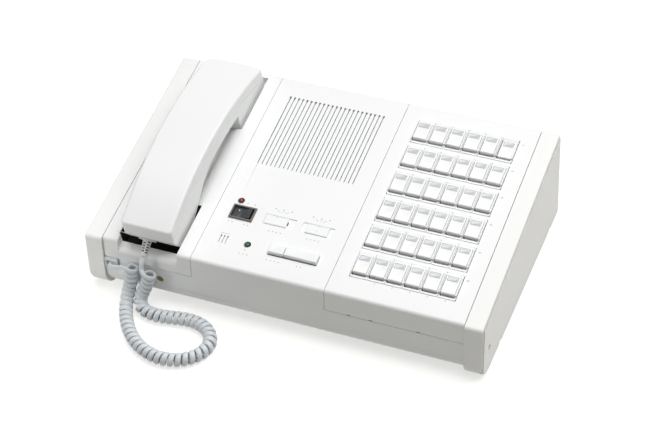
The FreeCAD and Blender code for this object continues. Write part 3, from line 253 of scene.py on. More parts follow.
@dataclass(frozen=True)
class SkinPass(Finish):
    """Sheet metal with the drawn-out grain of the rolling mill."""

    stretch: float = 12.0

    def height(self, tree: bpy.types.NodeTree, place: bpy.types.NodeSocket) -> bpy.types.NodeSocket:
        """Lay out a grain drawn out along X; see Finish.height.

        Args:
            tree: Node tree of the material.
            place: Coordinates on the piece, in metres.

        Returns:
            The socket that gives the height, from 0 to 1.
        """
        drawn = add_node(tree, "ShaderNodeMapping", {}, {
            "Vector": place, "Scale": (1 / self.stretch, 1.0, 1.0)})
        grain = add_node(tree, "ShaderNodeTexNoise", {}, {
            "Vector": drawn.outputs[0], "Scale": 1 / (self.grain * MM), "Detail": 4.0})
        return grain.outputs[0]


@dataclass(frozen=True)
class Laminate(Finish):
    """Glass-epoxy board: the weave of its cloth shows through the green resist."""

    def height(self, tree: bpy.types.NodeTree, place: bpy.types.NodeSocket) -> bpy.types.NodeSocket:
        """Lay out a plain weave; see Finish.height.

        Args:
            tree: Node tree of the material.
            place: Coordinates on the piece, in metres.

        Returns:
            The socket that gives the height, from 0 to 1.
        """
        weave = add_node(tree, "ShaderNodeTexWave", {"wave_type": "BANDS", "bands_direction": "DIAGONAL"}, {
            "Vector": place, "Scale": 1 / (20 * self.grain * MM), "Distortion": 1.5})
        return weave.outputs["Fac"]


# Injection-moulded ABS off a spark-eroded tool: satin, off-white, a very fine even grain.
BODY_ABS = Finish("satin_moulded_abs", "body_abs", "#F6F7F6", 0.42)
CAP_ABS = Finish("satin_moulded_abs_caps", "cap_abs", "#F6F6F4", 0.42)
# The same ABS off a smoother tool, a little brighter to the eye because it gets handled.
HANDSET_ABS = Finish("smooth_moulded_abs", "handset_abs", "#F6F7F6", 0.33, relief=0.005)
# Polished ABS: key caps with a soft gloss.
KEY_ABS = Finish("polished_abs", "key_abs", "#F8F8F7", 0.25, relief=0.003, coat=0.15)
CONTROL_ABS = Finish("polished_abs_controls", "control_abs", "#F6F7F7", 0.3, relief=0.004, coat=0.1)
# Cast acrylic over a grey paper slip: cool light grey with a sharp gloss.
WINDOW_ACRYLIC = Finish("smoked_acrylic", "clear_acrylic", "#C8CCCF", 0.08, relief=0.001, coat=0.6, ior=1.49)
# Clear injection-moulded acrylic: mostly see-through, bright at its edges.
CLEAR_ACRYLIC = Finish("clear_moulded_acrylic", "clear_acrylic", "#FAFBFB", 0.15, relief=0.001,
                       transmission=0.08, ior=1.49)
# Clear polycarbonate of a modular plug, faintly blue where it is thick.
PLUG_POLYCARBONATE = Finish("clear_polycarbonate", "clear_plug", "#EEF3F6", 0.1, relief=0.001,
                            transmission=0.2, ior=1.58)
# Glass-filled nylon, dark blue-grey and slightly glossy: the rocker.
ROCKER_NYLON = Finish("dark_nylon", "black_plastic", "#23292F", 0.3, relief=0.006, coat=0.1)
# Near-black and matt with a coarse relief: painted shade, put where the cradle's well and the slits beside
# the bar keys lie in deep shadow.
SHADE_BLACK = Finish("black_painted_shade", "body_abs", "#0B0B0B", 0.95, grain=0.4, relief=0.08)
# The switch bezel's black nylon is painted grey-brown, darker in patches: a painted sheen for the reflection
# on its top bevel.
BEZEL_SHEEN_NYLON = Finish("black_nylon_painted_sheen", "black_plastic", "#6C6460", 0.38, drift=0.35, drift_size=6.0)
# Tinted cast epoxy of light-emitting diodes that are off: deep, dark and glossy.
RED_EPOXY = Finish("red_epoxy", "lamp_epoxy", "#7E0A10", 0.14, relief=0.0, ior=1.55)
GREEN_EPOXY = Finish("green_epoxy", "lamp_epoxy", "#0A5A28", 0.14, relief=0.0, ior=1.55)
# The lamp's sunk seat: its cone is painted mid-grey as painted shade for the countersink's shadowed far wall.
LAMP_SEAT_SHADE = Finish("lamp_seat_painted_shade", "body_abs", "#8F9092", 0.6, relief=0.01)
# Painted shade in the caps' grooves: a warm light grey for the shadow that the rim casts into them.
CAP_GROOVE_SHADE = Finish("cap_groove_painted_shade", "cap_abs", "#C4BFB6", 0.6, relief=0.01)
# Soft plasticised PVC: light blue-grey with a waxy half gloss.
CORD_PVC = Finish("soft_pvc", "cord_vinyl", "#DBE0E3", 0.36, grain=1.5, relief=0.01, drift=0.04,
                  drift_size=9.0)
RELIEF_PVC = Finish("moulded_pvc", "cord_vinyl", "#DEDDDC", 0.42, relief=0.01)
# The same PVC down in the sleeve's slots, painted dark grey as painted shade for the slots' shadow.
SLOT_SHADE_PVC = Finish("relief_slot_painted_shade", "cord_vinyl", "#6E6C70", 0.7, relief=0.02)
# Zinc-plated steel: yellowish bright metal with a fine drawn grain.
ZINC_STEEL = SkinPass("zinc_plated_steel", "screw_steel", "#A5926C", 0.32, grain=0.3, relief=0.004,
                      drift=0.2, drift_size=3.0, metallic=1.0)
# Cold-rolled sheet, painted light grey with a slightly orange-peeled coat.
PAINTED_SHEET = SkinPass("painted_steel_sheet", "steel_sheet", "#B7B9B8", 0.45, grain=1.2, relief=0.015,
                         stretch=1.0)
NICKEL_STEEL = SkinPass("nickel_plated_steel", "capsule_metal", "#A9ABAD", 0.28, grain=0.4, metallic=1.0)
GOLD_PLATE = Finish("gold_plate", "clear_plug", "#D9B45B", 0.2, relief=0.0, metallic=1.0)
BOARD_LAMINATE = Laminate("glass_epoxy_board", "circuit_board", "#2F5B3A", 0.35, grain=0.5, relief=0.01)
# Black phenolic and nylon of sockets, switch blocks and transformers: dull, faintly brown.
BLOCK_NYLON = Finish("black_block_nylon", "circuit_board", "#1C1B1A", 0.5, grain=1.0, relief=0.02)
# Screen-printed ink: flat light grey.
PRINTED_INK = Finish("screen_ink", "body_abs", "#A3A5A6", 0.5, relief=0.004)
# Pad-printed white ink on the rocker.
WHITE_INK = Finish("white_pad_ink", "black_plastic", "#F2F2F0", 0.5, relief=0.004)


# ---------------------------------------------------------------- workshop

def only(*pieces: Object) -> None:
    """Select these pieces and nothing else; the first is the active one.

    Args:
        *pieces: The pieces to select.
    """
    bpy.ops.object.select_all(action="DESELECT")
    for piece in pieces:
        piece.select_set(True)
    bpy.context.view_layer.objects.active = pieces[0]


@contextmanager
def shaping(piece: Object) -> Iterator[None]:
    """Work on one piece in edit mode, with nothing selected at first.

    Args:
        piece: The mesh to shape.

    Yields:
        Nothing; the piece is in edit mode meanwhile.
    """
    only(piece)
    bpy.ops.object.mode_set(mode="EDIT")
    bpy.ops.mesh.select_all(action="DESELECT")
    yield
    bpy.ops.object.mode_set(mode="OBJECT")


def pick_faces(piece: Object, wanted: Callable[[Vector, Vector], bool]) -> None:
    """Select only the faces that a test accepts, in edit mode.

    Args:
        piece: The mesh in edit mode.
        wanted: Test of a face's middle, in millimetres, and its normal.
    """
    bpy.ops.mesh.select_mode(type="FACE")
    bpy.ops.mesh.select_all(action="DESELECT")
    shape = bmesh.from_edit_mesh(piece.data)
    for face in shape.faces:
        face.select_set(wanted(face.calc_center_median() / MM, face.normal))
    bmesh.update_edit_mesh(piece.data)


def pick_edges(piece: Object, wanted: Callable[[Vector, Vector], bool]) -> None:
    """Select only the edges that a test accepts, in edit mode.

    Args:
        piece: The mesh in edit mode.
        wanted: Test of an edge's middle, in millimetres, and its direction.
    """
    bpy.ops.mesh.select_mode(type="EDGE")
    bpy.ops.mesh.select_all(action="DESELECT")
    shape = bmesh.from_edit_mesh(piece.data)
    for edge in shape.edges:
        first, last = (corner.co for corner in edge.verts)
        edge.select_set(wanted((first + last) / 2 / MM, (last - first).normalized()))
    bmesh.update_edit_mesh(piece.data)


def pull(shift: Triple) -> None:
    """Extrude the selected region by a shift in millimetres."""
    bpy.ops.mesh.extrude_region_move(TRANSFORM_OT_translate={"value": tuple(part * MM for part in shift)})


def all_over() -> None:
    """Select the whole mesh, in edit mode."""
    bpy.ops.mesh.select_all(action="SELECT")


def inset(thickness: float, depth: float = 0.0) -> None:
    """Inset the selected faces by a thickness, and lift them by a depth, in millimetres."""
    bpy.ops.mesh.inset(thickness=thickness * MM, depth=depth * MM)


def slice_at(spot: Triple, way: Triple, clear_inner: bool = False) -> None:
    """Cut the selection at a plane through a spot in millimetres; the side behind it may go."""
    bpy.ops.mesh.bisect(plane_co=Vector(spot) * MM, plane_no=way, clear_inner=clear_inner)


def frame_cut(piece: Object, sides: Sequence[float], wanted: Callable[[Vector, Vector], bool]) -> None:
    """Cut the faces that a test accepts along a rectangle's left, right, front and rear side.

    Args:
        piece: The mesh in edit mode.
        sides: The four sides, in millimetres.
        wanted: Test of a face's middle, in millimetres, and its normal.
    """
    left, right, front, rear = sides
    for spot, way in (((left, 0, 0), (1, 0, 0)), ((right, 0, 0), (1, 0, 0)),
                      ((0, front, 0), (0, 1, 0)), ((0, rear, 0), (0, 1, 0))):
        pick_faces(piece, wanted)
        slice_at(spot, way)


def block(name: str, low: Triple, high: Triple) -> Object:
    """Start a piece as a box between two corners.

    Args:
        name: Name of the piece.
        low: Lowest corner in millimetres.
        high: Highest corner in millimetres.

    Returns:
        The new piece, with its place in its mesh.
    """
    middle = [(one + other) / 2 * MM for one, other in zip(low, high)]
    size = [(other - one) * MM for one, other in zip(low, high)]
    bpy.ops.mesh.primitive_cube_add(size=1.0, location=middle, scale=size)
    return named(name)


def disc(name: str, radius: float, centre: Triple, sides: int) -> Object:
    """Start a round piece as a filled circle that faces +Z; sizes in millimetres.

    Args:
        name: Name of the piece.
        radius: Its radius.
        centre: Its middle.
        sides: How many corners it has.

    Returns:
        The new piece.
    """
    bpy.ops.mesh.primitive_circle_add(vertices=sides, radius=radius * MM, fill_type="NGON",
                                      location=[part * MM for part in centre])
    return named(name)


def named(name: str) -> Object:
    """Name the newest piece and put its place into its mesh.

    Args:
        name: The name to give.

    Returns:
        The piece.
    """
    piece = bpy.context.active_object
    piece.name = name
    piece.data.name = name
    only(piece)
    bpy.ops.object.transform_apply(location=True, rotation=True, scale=True)
    return piece


def round_edges(piece: Object, radius: float, segments: int,
                wanted: Callable[[Vector, Vector], bool]) -> None:
    """Bevel the edges that a test accepts, in edit mode; see pick_edges."""
    pick_edges(piece, wanted)
    bpy.ops.mesh.bevel(offset=radius * MM, segments=segments, profile=0.5, affect="EDGES")


def apply_modifier(piece: Object, kind: str, **settings: object) -> None:
    """Add a modifier of a kind with its settings to a piece and apply it.

    Args:
        piece: The piece to change.
        kind: Type of the modifier.
        **settings: Its values by name.
    """
    only(piece)
    modifier = piece.modifiers.new(kind.lower(), kind)
    for name, setting in settings.items():
        setattr(modifier, name, setting)
    bpy.ops.object.modifier_apply(modifier=modifier.name)


def close_normals(piece: Object) -> None:
    """Merge doubles and turn every face outwards.

    Args:
        piece: The mesh to clean up.
    """
    with shaping(piece):
        all_over()
        bpy.ops.mesh.remove_doubles(threshold=0.001 * MM)
        bpy.ops.mesh.normals_make_consistent(inside=False)


def settle(piece: Object, finish: Finish, body: Body | str, *replaced: str, angle: float = 30.0) -> Object:
    """Finish a piece: smooth it, give it its material and let it ride on its body.

    Args:
        piece: The finished mesh, in place.
        finish: Its surface.
        body: The body that it moves with, or its name.
        *replaced: Nodes that it stands for.
        angle: Edges flatter than this are shaded smooth, in degrees.

    Returns:
        The same piece.
    """
    only(piece)
    bpy.ops.object.shade_smooth_by_angle(angle=math.radians(angle))
    piece.data.materials.clear()
    piece.data.materials.append(finish.material())
    rides = body.value if isinstance(body, Body) else body
    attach(piece, rides)
    if replaced:
        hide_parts(*replaced)
    log.info("%s: %d faces, rides on %s", piece.name, len(piece.data.polygons), rides)
    return piece


def touch_up(piece: Object, finish: Finish, wanted: Callable[[Vector, bpy.types.MeshPolygon], bool],
             place: Matrix = Matrix.Identity(4)) -> None:
    """Give some faces of a settled piece a second finish.

    Args:
        piece: The piece, with its first finish.
        finish: The second finish.
        wanted: Test of a face's middle, in millimetres, and the face.
        place: Takes the piece's points to those that the test is about.
    """
    piece.data.materials.append(finish.material())
    for face in piece.data.polygons:
        if wanted((place @ face.center) / MM, face):
            face.material_index = 1


def duplicate(piece: Object, name: str, place: Matrix) -> Object:
    """Copy a piece with its own mesh.

    Args:
        piece: The piece to copy.
        name: Name of the copy.
        place: Where the copy goes, in scene units.

    Returns:
        The copy.
    """
    twin = piece.copy()
    twin.data = piece.data.copy()
    twin.name = twin.data.name = name
    bpy.context.scene.collection.objects.link(twin)
    twin.data.transform(place)
    return twin


def copy_node(node: Object, name: str) -> Object:
    """Copy a node of the frame as a new piece that is no longer one of its nodes.

    Args:
        node: The frame's node.
        name: Name of the copy.

    Returns:
        The copy, in the same place.
    """
    piece = duplicate(node, name, Matrix.Identity(4))
    piece.parent = None
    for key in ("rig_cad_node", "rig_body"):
        if key in piece:
            del piece[key]
    return piece


def set_up(name: str, data: bpy.types.ID, place: Sequence[float], turn: Sequence[float]) -> Object:
    """Stand a lamp or camera in the scene at a place, in scene units, with its turn in radians.

    Args:
        name: Name of the object.
        data: Its lamp or camera.
        place: Where it stands.
        turn: Its turn about X, Y and Z.

    Returns:
        The new object.
    """
    holder = bpy.data.objects.new(name, data)
    holder.location = place
    holder.rotation_euler = turn
    bpy.context.scene.collection.objects.link(holder)
    return holder


def directions(line: Sequence[Vector]) -> list[Vector]:
    """Give the direction of a line at each of its points."""
    last = len(line) - 1
    return [(line[min(i + 1, last)] - line[max(i - 1, 0)]).normalized() for i in range(len(line))]


def discard(*pieces: Object) -> None:
    """Take patterns that copies were made from out of the scene."""
    for piece in pieces:
        bpy.data.objects.remove(piece)


# ---------------------------------------------------------------- the deck

@dataclass(frozen=True)
class Deck:
    """The sloping top surface that most pieces sit on."""

    front_y: float = -109.2
    front_z: float = 62.5
    tilt: float = 8.7

    def place(self, x: float = 0.0, v: float = 0.0, n: float = 0.0) -> Matrix:
        """Give the placement of a deck point.

        Args:
            x: To the right, in millimetres.
            v: Up the slope from the deck's front edge.
            n: Outwards from the deck.

        Returns:
            A matrix that lays deck coordinates, in metres, on the slope at that point.
        """
        slope = Matrix.Rotation(math.radians(self.tilt), 4, "X")
        origin = Matrix.Translation(Vector((0.0, self.front_y, self.front_z)) * MM)
        return origin @ slope @ Matrix.Translation(Vector((x, v, n)) * MM)

    def lay(self, piece: Object) -> Object:
        """Lay a piece that was shaped in deck coordinates on the slope."""
        piece.data.transform(self.place())
        return piece


DECK = Deck()


def on_deck(piece: Object, finish: Finish, body: Body, *replaced: str) -> Object:
    """Close a piece that was made flat, lay it on the deck and settle it.

    Args:
        piece: The piece, in deck coordinates.
        finish: Its surface.
        body: The body that it moves with.
        *replaced: Nodes that it stands for.

    Returns:
        The same piece.
    """
    close_normals(piece)
    return settle(DECK.lay(piece), finish, body, *replaced)


# ---------------------------------------------------------------- mouldings

Cut = tuple[Vector, Vector]


def across(*places: float) -> list[Cut]:
    """Planes square to X at these places, in millimetres."""
    return [(Vector((place, 0, 0)) * MM, Vector((1, 0, 0))) for place in places]


def level(*places: float) -> list[Cut]:
    """Planes square to Z at these heights, in millimetres."""
    return [(Vector((0, 0, place)) * MM, Vector((0, 0, 1))) for place in places]


@dataclass
class Mouldings:
    """The shells and plates whose shape the frame already holds; they get broken edges.

    Attributes:
        nodes: The frame's nodes by name.
        edge: Radius of an edge that the tool leaves, in millimetres.
        sharp: Edges steeper than this are broken, in degrees.
        flat: Faces that meet flatter than this are one face, in degrees.
        grille: Middle of the first grille slot, pitch of the slots and their number.
        clip_middles: Middles of the dark clips along X.
        clip_half: Half the width of a clip.
        clip_span: Lower and upper side of a clip.
    """

    nodes: dict[str, Object]
    edge: float = 0.25
    sharp: float = 38.0
    flat: float = 0.6
    grille: tuple[float, float, int] = (-67.1, 4.2095, 23)
    clip_middles: Triple = (65.6, 85.7, 128.7)
    clip_half: float = 1.7
    clip_span: tuple[float, float] = (41.1, 41.8)

    def simplify(self, piece: Object, cuts: Sequence[Cut]) -> None:
        """Merge the triangles of flat faces, after cutting faces with holes through those holes.

        Args:
            piece: The copied node.
            cuts: Planes through the holes, so that no face is left with a hole in it.
        """
        with shaping(piece):
            all_over()
            bpy.ops.mesh.remove_doubles(threshold=0.002 * MM)
            for spot, way in cuts:
                all_over()
                bpy.ops.mesh.bisect(plane_co=spot, plane_no=way)
                bpy.ops.mesh.mark_seam(clear=False)
            all_over()
            bpy.ops.mesh.dissolve_limited(angle_limit=math.radians(self.flat), delimit={"SEAM"})
            all_over()
            bpy.ops.mesh.mark_seam(clear=True)

    def softened(self, node: str, name: str, finish: Finish, body: Body, edge: float = 0.0,
                 cuts: Sequence[Cut] = ()) -> Object:
        """Copy a node with its sharp edges broken.

        Args:
            node: The frame's node.
            name: Name of the piece that stands for it.
            finish: Its surface.
            body: The body that it rides on.
            edge: Edge radius, or 0 for the usual one.
            cuts: Planes through the holes in its flat faces.

        Returns:
            The new piece.
        """
        piece = copy_node(self.nodes[node], name)
        self.simplify(piece, cuts)
        apply_modifier(piece, "BEVEL", width=(edge or self.edge) * MM, segments=2, limit_method="ANGLE",
                       angle_limit=math.radians(self.sharp), use_clamp_overlap=False,
                       miter_outer="MITER_ARC", harden_normals=False)
        settle(piece, finish, body, node)
        apply_modifier(piece, "WEIGHTED_NORMAL", keep_sharp=True, weight=50)
        return piece

    def dressed(self, node: str, finish: Finish) -> None:
        """Give a node that stays as it is its finish.

        Args:
            node: The frame's node.
            finish: Its surface.
        """
        piece = self.nodes[node]
        if not piece.material_slots:
            piece.data.materials.append(None)
        for slot in piece.material_slots:
            slot.link = "OBJECT"
            slot.material = finish.material()
        log.info("%s keeps its shape and gets %s", node, finish.name)

    def cradle(self) -> None:
        """Make the cradle; the faces of the well under the mouthpiece are painted near-black as painted
        shade.
        """
        left, right, front, rear, bottom, top = -157.5, -96.2, 7.0, 60.0, -20.5, -1.2
        lip_rear, lip_foot = 8.6, -9.0
        deck = DECK.place(0, rear, top)
        slope, outwards = (deck.to_3x3() @ Vector(way) for way in ((0, 1, 0), (0, 0, 1)))
        cuts = across(-143.4, -135.4, -127.4, -119.4, -105.4)
        cuts += [(deck.translation, slope), (deck.translation, outwards)]
        piece = self.softened("cradle_panel", "cradle_moulding", BODY_ABS, Body.HOUSING, cuts=cuts)
        # painted shade: the well's faces behind and below the lip turn near-black
        touch_up(piece, SHADE_BLACK, lambda spot, face: left < spot.x < right and front < spot.y < rear + 0.3
                 and bottom < spot.z < top and not (spot.y < lip_rear and spot.z > lip_foot),
                 DECK.place().inverted())

    def grooved(self, piece: Object) -> None:
        """Paint the floor of a cap's shallow groove a warm grey as painted shade.

        Args:
            piece: The cap's moulding.
        """
        floor = (183.5, 186.85)
        touch_up(piece, CAP_GROOVE_SHADE,
                 lambda spot, face: floor[0] < abs(spot.x) < floor[1] and abs(face.normal.x) > 0.8)

    def clips(self) -> None:
        """Model the dark clips that show in the slots of the key panel's apron."""
        front, (low, top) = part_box("key_panel")[0][1] / MM, self.clip_span
        for number, middle in enumerate(self.clip_middles, 1):
            piece = block(f"panel_clip_{number}", (middle - self.clip_half, front + 0.25, low),
                          (middle + self.clip_half, front + 2.2, top))
            apply_modifier(piece, "BEVEL", width=0.15 * MM, segments=2)
            settle(piece, ROCKER_NYLON, Body.HOUSING)

    def boards(self) -> None:
        """Copy the boards with their blocks: green laminate in the boards' own layer, black elsewhere."""
        layer = (-17.8, -14.9)
        piece = copy_node(self.nodes["circuit_boards"], "boards_and_blocks")
        settle(piece, BLOCK_NYLON, Body.HOUSING, "circuit_boards")
        place = DECK.place().inverted()
        heights = [((place @ corner.co) / MM).z for corner in piece.data.vertices]
        touch_up(piece, BOARD_LAMINATE,
                 lambda spot, face: all(layer[0] < heights[corner] < layer[1] for corner in face.vertices))

    def build(self) -> None:
        """Make every moulding and dress the inner parts."""
        first, pitch, count = self.grille
        slots = [first - 0.25] + [first + number * pitch for number in range(1, count)]
        self.softened("main_housing", "housing_moulding", BODY_ABS, Body.HOUSING,
                      cuts=across(-115.4, -76.0, -66.5, -63.3, -60.1, 35.0, *slots) + level(25.7))
        for side in ("left", "right"):
            self.grooved(self.softened(side + "_end_cap", side + "_cap_moulding", CAP_ABS, Body.HOUSING,
                                       edge=0.12, cuts=level(25.7)))
        self.clips()
        self.cradle()
        chin_cuts = across(-134.2, -132.4, -129.2, -127.4, -125.6, -122.5, -120.6)
        bottom_cuts = across(-140.0, -80.0, 0.0, 80.0, 140.0)
        bezel_cuts = across(-63.4, -57.4, -51.4)
        for node, name, finish, body, edge, cuts in (
                ("key_panel", "key_panel_moulding", BODY_ABS, Body.HOUSING, 0.0, across(52.0, 106.5, 162.0)),
                ("handset_upper_shell", "handset_top_moulding", HANDSET_ABS, Body.HANDSET, 0.5, ()),
                ("handset_lower_shell", "handset_under_moulding", HANDSET_ABS, Body.HANDSET, 0.5, chin_cuts),
                ("hook_plunger", "hook_button", CONTROL_ABS, Body.HOOK, 0.0, ()),
                ("power_switch_body", "switch_bezel", BEZEL_SHEEN_NYLON, Body.HOUSING, 0.15, bezel_cuts),
                ("screws", "cross_head_screws", ZINC_STEEL, Body.HOUSING, 0.12, ()),
                ("base_plate", "bottom_cover", PAINTED_SHEET, Body.HOUSING, 0.2, bottom_cuts)):
            self.softened(node, name, finish, body, edge, cuts)
        self.dressed("handset_capsules", NICKEL_STEEL)
        self.boards()
        self.dressed("speaker", RingedPaper("speaker_paper", "speaker_steel", "#55585A", 0.85, relief=0.05,
                                            centre=(-20.8, 48.5, 87.0)))


# ---------------------------------------------------------------- station keys

@dataclass
class StationKeys:
    """Thirty-six push keys in six rows, each with a window for a paper slip."""

    first_x: float = 58.5
    first_v: float = 206.0
    pitch: float = 16.0
    row_pitch: float = 31.5
    cell_depth: float = 25.0
    width: float = 12.8
    depth: float = 20.4
    front_gap: float = 1.6
    top: float = 3.4
    skirt: float = 4.2
    wall: float = 1.2
    corner: float = 0.7
    window_depth: float = 5.5
    window_side: float = 1.45
    window_rear: float = 2.1
    window_sunk: float = 0.9
    latched: tuple[int, int] = (0, 5)
    latch_depth: float = 2.0
    count: int = 6

    @property
    def seat(self) -> tuple[float, float, float, float]:
        """Sides of a cap's window seat: left, right, front and rear.

        Returns:
            The four sides within a cap's cell, in millimetres.
        """
        left = (self.pitch - self.width) / 2 + self.window_side
        rear = self.front_gap + self.depth - self.window_rear
        return left, self.pitch - left, rear - self.window_depth, rear

    def cap(self) -> Object:
        """Model one hollow cap with its window seat, at its cell's front left corner.

        Returns:
            The cap.
        """
        left = (self.pitch - self.width) / 2
        right = left + self.width
        rear = self.front_gap + self.depth
        piece = block("cap_pattern", (left, self.front_gap, -self.skirt), (right, rear, self.top))
        with shaping(piece):
            pick_faces(piece, lambda spot, way: way.z < -0.9)
            inset(self.wall)
            pull((0, 0, self.skirt + self.top - self.window_sunk - self.wall))
            outer = lambda spot: (min(abs(spot.x - left), abs(spot.x - right)) < 0.01
                                  or min(abs(spot.y - self.front_gap), abs(spot.y - rear)) < 0.01)
            round_edges(piece, self.corner, 4, lambda spot, way: outer(spot) and (
                abs(spot.z - self.top) < 0.01 or abs(way.z) > 0.9))
            seat_left, seat_right, seat_front, seat_rear = self.seat
            frame_cut(piece, self.seat, lambda spot, way: way.z > 0.99 and spot.z > self.top - 0.01)
            pick_faces(piece, lambda spot, way: way.z > 0.99 and spot.z > self.top - 0.01
                       and seat_left < spot.x < seat_right and seat_front < spot.y < seat_rear)
            pull((0, 0, -self.window_sunk))
            inset(0.3)
            inner = lambda spot: (seat_left - 0.01 < spot.x < seat_right + 0.01
                                  and seat_front - 0.01 < spot.y < seat_rear + 0.01)
            round_edges(piece, 0.12, 2, lambda spot, way: abs(spot.z - self.top) < 0.01 and inner(spot))
        close_normals(piece)
        return piece

    def window(self) -> Object:
        """Model the crowned clear window that lies in a cap's seat.

        Returns:
            The window.
        """
        left, right, front, rear = self.seat
        low = self.top - self.window_sunk + 0.05
        piece = block("window_pattern", (left + 0.05, front + 0.05, low),
                      (right - 0.05, rear - 0.05, self.top - 0.05))
        with shaping(piece):
            round_edges(piece, 0.3, 3, lambda spot, way: spot.z > low + 0.1)
            pick_faces(piece, lambda spot, way: way.z > 0.95)
            inset(0.5, 0.06)
        return piece

    def build(self) -> None:
        """Model the cap and the window once and copy them into every cell."""
        cap = self.cap()
        window = self.window()
        for row in range(self.count):
            for column in range(self.count):
                sunk = self.latch_depth if (row, column) == self.latched else 0.0
                place = DECK.place(self.first_x + column * self.pitch,
                                   self.first_v - self.cell_depth - row * self.row_pitch, -sunk)
                key = "r%d_c%d" % (row + 1, column + 1)
                settle(duplicate(cap, "key_cap_" + key, place), KEY_ABS, "station_" + key, "key_" + key)
                settle(duplicate(window, "key_window_" + key, place), WINDOW_ACRYLIC, "station_" + key)
        discard(cap, window)


@dataclass
class KeyFrames:
    """The clear guards round the keys: in every row six rings on two low rails.

    Attributes:
        keys: The keys that the rings go round.
        gap: Space between two rings.
        front: How far a ring stands out ahead of its cell.
        low: Underside of the rings and rails.
        top: Top of the rings.
        rail_top: Top of the rails.
        corner: Radius of a ring's outer corners.
        side: Width of a ring's walls at the left and right of its key.
        wall_top: Top of these walls.
        wall_span: Where the walls start and end up the slope.
        reach: How far the ring's hole goes up the slope from the cell's front.
        hole_corner: Radius of the hole's corners.
        rails: Front and rear side of each rail.
        rail_end: Where the rails stop short of the row's ends.
    """

    keys: StationKeys
    gap: float = 0.4
    front: float = 2.0
    low: float = -1.8
    top: float = 0.35
    rail_top: float = -0.6
    corner: float = 2.0
    side: float = 0.9
    wall_top: float = 2.4
    wall_span: tuple[float, float] = (1.7, 22.0)
    reach: float = 22.9
    hole_corner: float = 0.8
    rails: tuple[tuple[float, float], ...] = ((-1.9, -0.1), (22.6, 24.9))
    rail_end: float = 0.7

    def ring(self) -> Object:
        """Model one ring: a plate with rounded corners and a hole cut down through it.

        Returns:
            The ring.
        """
        keys = self.keys
        left, right = self.gap / 2, keys.pitch - self.gap / 2
        hole_left, hole_right = left + self.side - 0.25, right - self.side - 0.2
        piece = block("ring_pattern", (left, -self.front, self.low), (right, keys.cell_depth, self.top))
        with shaping(piece):
            frame_cut(piece, (hole_left, hole_right, 0.0, self.reach), lambda spot, way: abs(way.z) > 0.9)
            pick_faces(piece, lambda spot, way: abs(way.z) > 0.9 and hole_left < spot.x < hole_right
                       and 0 < spot.y < self.reach)
            bpy.ops.mesh.bridge_edge_loops()
            inside = lambda spot: (hole_left - 0.01 < spot.x < hole_right + 0.01
                                   and -0.01 < spot.y < self.reach + 0.01)
            round_edges(piece, self.hole_corner, 4, lambda spot, way: abs(way.z) > 0.9 and inside(spot))
            round_edges(piece, self.corner, 7, lambda spot, way: abs(way.z) > 0.9 and not inside(spot))
            start, end = self.wall_span
            for v in self.wall_span:
                pick_faces(piece, lambda spot, way: way.z > 0.9)
                slice_at((0, v, 0), (0, 1, 0))
            pick_faces(piece, lambda spot, way: way.z > 0.9 and start < spot.y < end
                       and not hole_left < spot.x < hole_right)
            pull((0, 0, self.wall_top - self.top))
        close_normals(piece)
        apply_modifier(piece, "BEVEL", width=0.22 * MM, segments=3, limit_method="ANGLE",
                       angle_limit=math.radians(50), use_clamp_overlap=True)
        return piece

    def rail(self, name: str, span: tuple[float, float]) -> Object:
        """Model one low rail that ties a row's rings together, with soft ends.

        Args:
            name: Name of the rail.
            span: Its front and rear side.

        Returns:
            The rail.
        """
        length = self.keys.count * self.keys.pitch
        piece = block(name, (self.rail_end, span[0], self.low + 0.05),
                      (length - self.rail_end, span[1], self.rail_top))
        with shaping(piece):
            round_edges(piece, 0.2, 2, lambda spot, way: spot.z > self.low + 0.06)
        return piece

    def build(self) -> None:
        """Model one ring and two rails and copy them to every place."""
        keys = self.keys
        ring = self.ring()
        rails = [self.rail("rail_pattern_%d" % number, span) for number, span in enumerate(self.rails)]
        for row in range(keys.count):
            v = keys.first_v - keys.cell_depth - row * keys.row_pitch
            parts = [duplicate(ring, "ring", DECK.place(keys.first_x + column * keys.pitch, v))
                     for column in range(keys.count)]
            parts += [duplicate(rail, "rail", DECK.place(keys.first_x, v)) for rail in rails]
            only(*parts)
            bpy.ops.object.join()
            parts[0].name = parts[0].data.name = "key_guards_row_%d" % (row + 1)
            settle(parts[0], CLEAR_ACRYLIC, Body.HOUSING, "key_frames")
        discard(ring, *rails)


# ---------------------------------------------------------------- controls

@dataclass
class Selectors:
    """Two three-position slide selectors with grooved caps."""

    length: float = 21.0
    depth: float = 10.2
    centre_v: float = 60.2
    left_x: float = -25.1
    right_x: float = 14.0
    low: float = -1.05
    top: float = 0.5
    groove: float = 0.6

    def slider(self, name: str, middle: float, body: Body, node: str) -> None:
        """Model one cap: a low block with a sunk outline and a fine groove across its middle.

        Args:
            name: Name of the piece.
            middle: Its middle along X.
            body: The body that it rides on.
            node: The node that it stands for.
        """
        piece = block(name, (middle - self.length / 2, self.centre_v - self.depth / 2, self.low),
                      (middle + self.length / 2, self.centre_v + self.depth / 2, self.top))
        with shaping(piece):
            round_edges(piece, 0.3, 4, lambda spot, way: spot.z > self.top - 0.01 or abs(way.z) > 0.9)
            pick_faces(piece, lambda spot, way: way.z > 0.99)
            inset(0.35)
            inset(0.25, -0.18)
            inset(0.15, 0.12)
            for side in (-1, 1):
                all_over()
                slice_at((middle + side * 0.4, 0, 0), (1, 0, 0))
            pick_faces(piece, lambda spot, way: way.z > 0.99 and abs(spot.x - middle) < 0.35
                       and abs(spot.y - self.centre_v) < self.depth / 2 - 0.6)
            pull((0, 0, -self.groove))
            pick_faces(piece, lambda spot, way: way.z < -0.9)
            inset(2.0)
        on_deck(piece, CONTROL_ABS, body, node)

    def build(self) -> None:
        """Model both selectors."""
        self.slider("left_selector_cap", self.left_x, Body.SELECTOR_LEFT, "selector_slider_left")
        self.slider("right_selector_cap", self.right_x, Body.SELECTOR_RIGHT, "selector_slider_right")


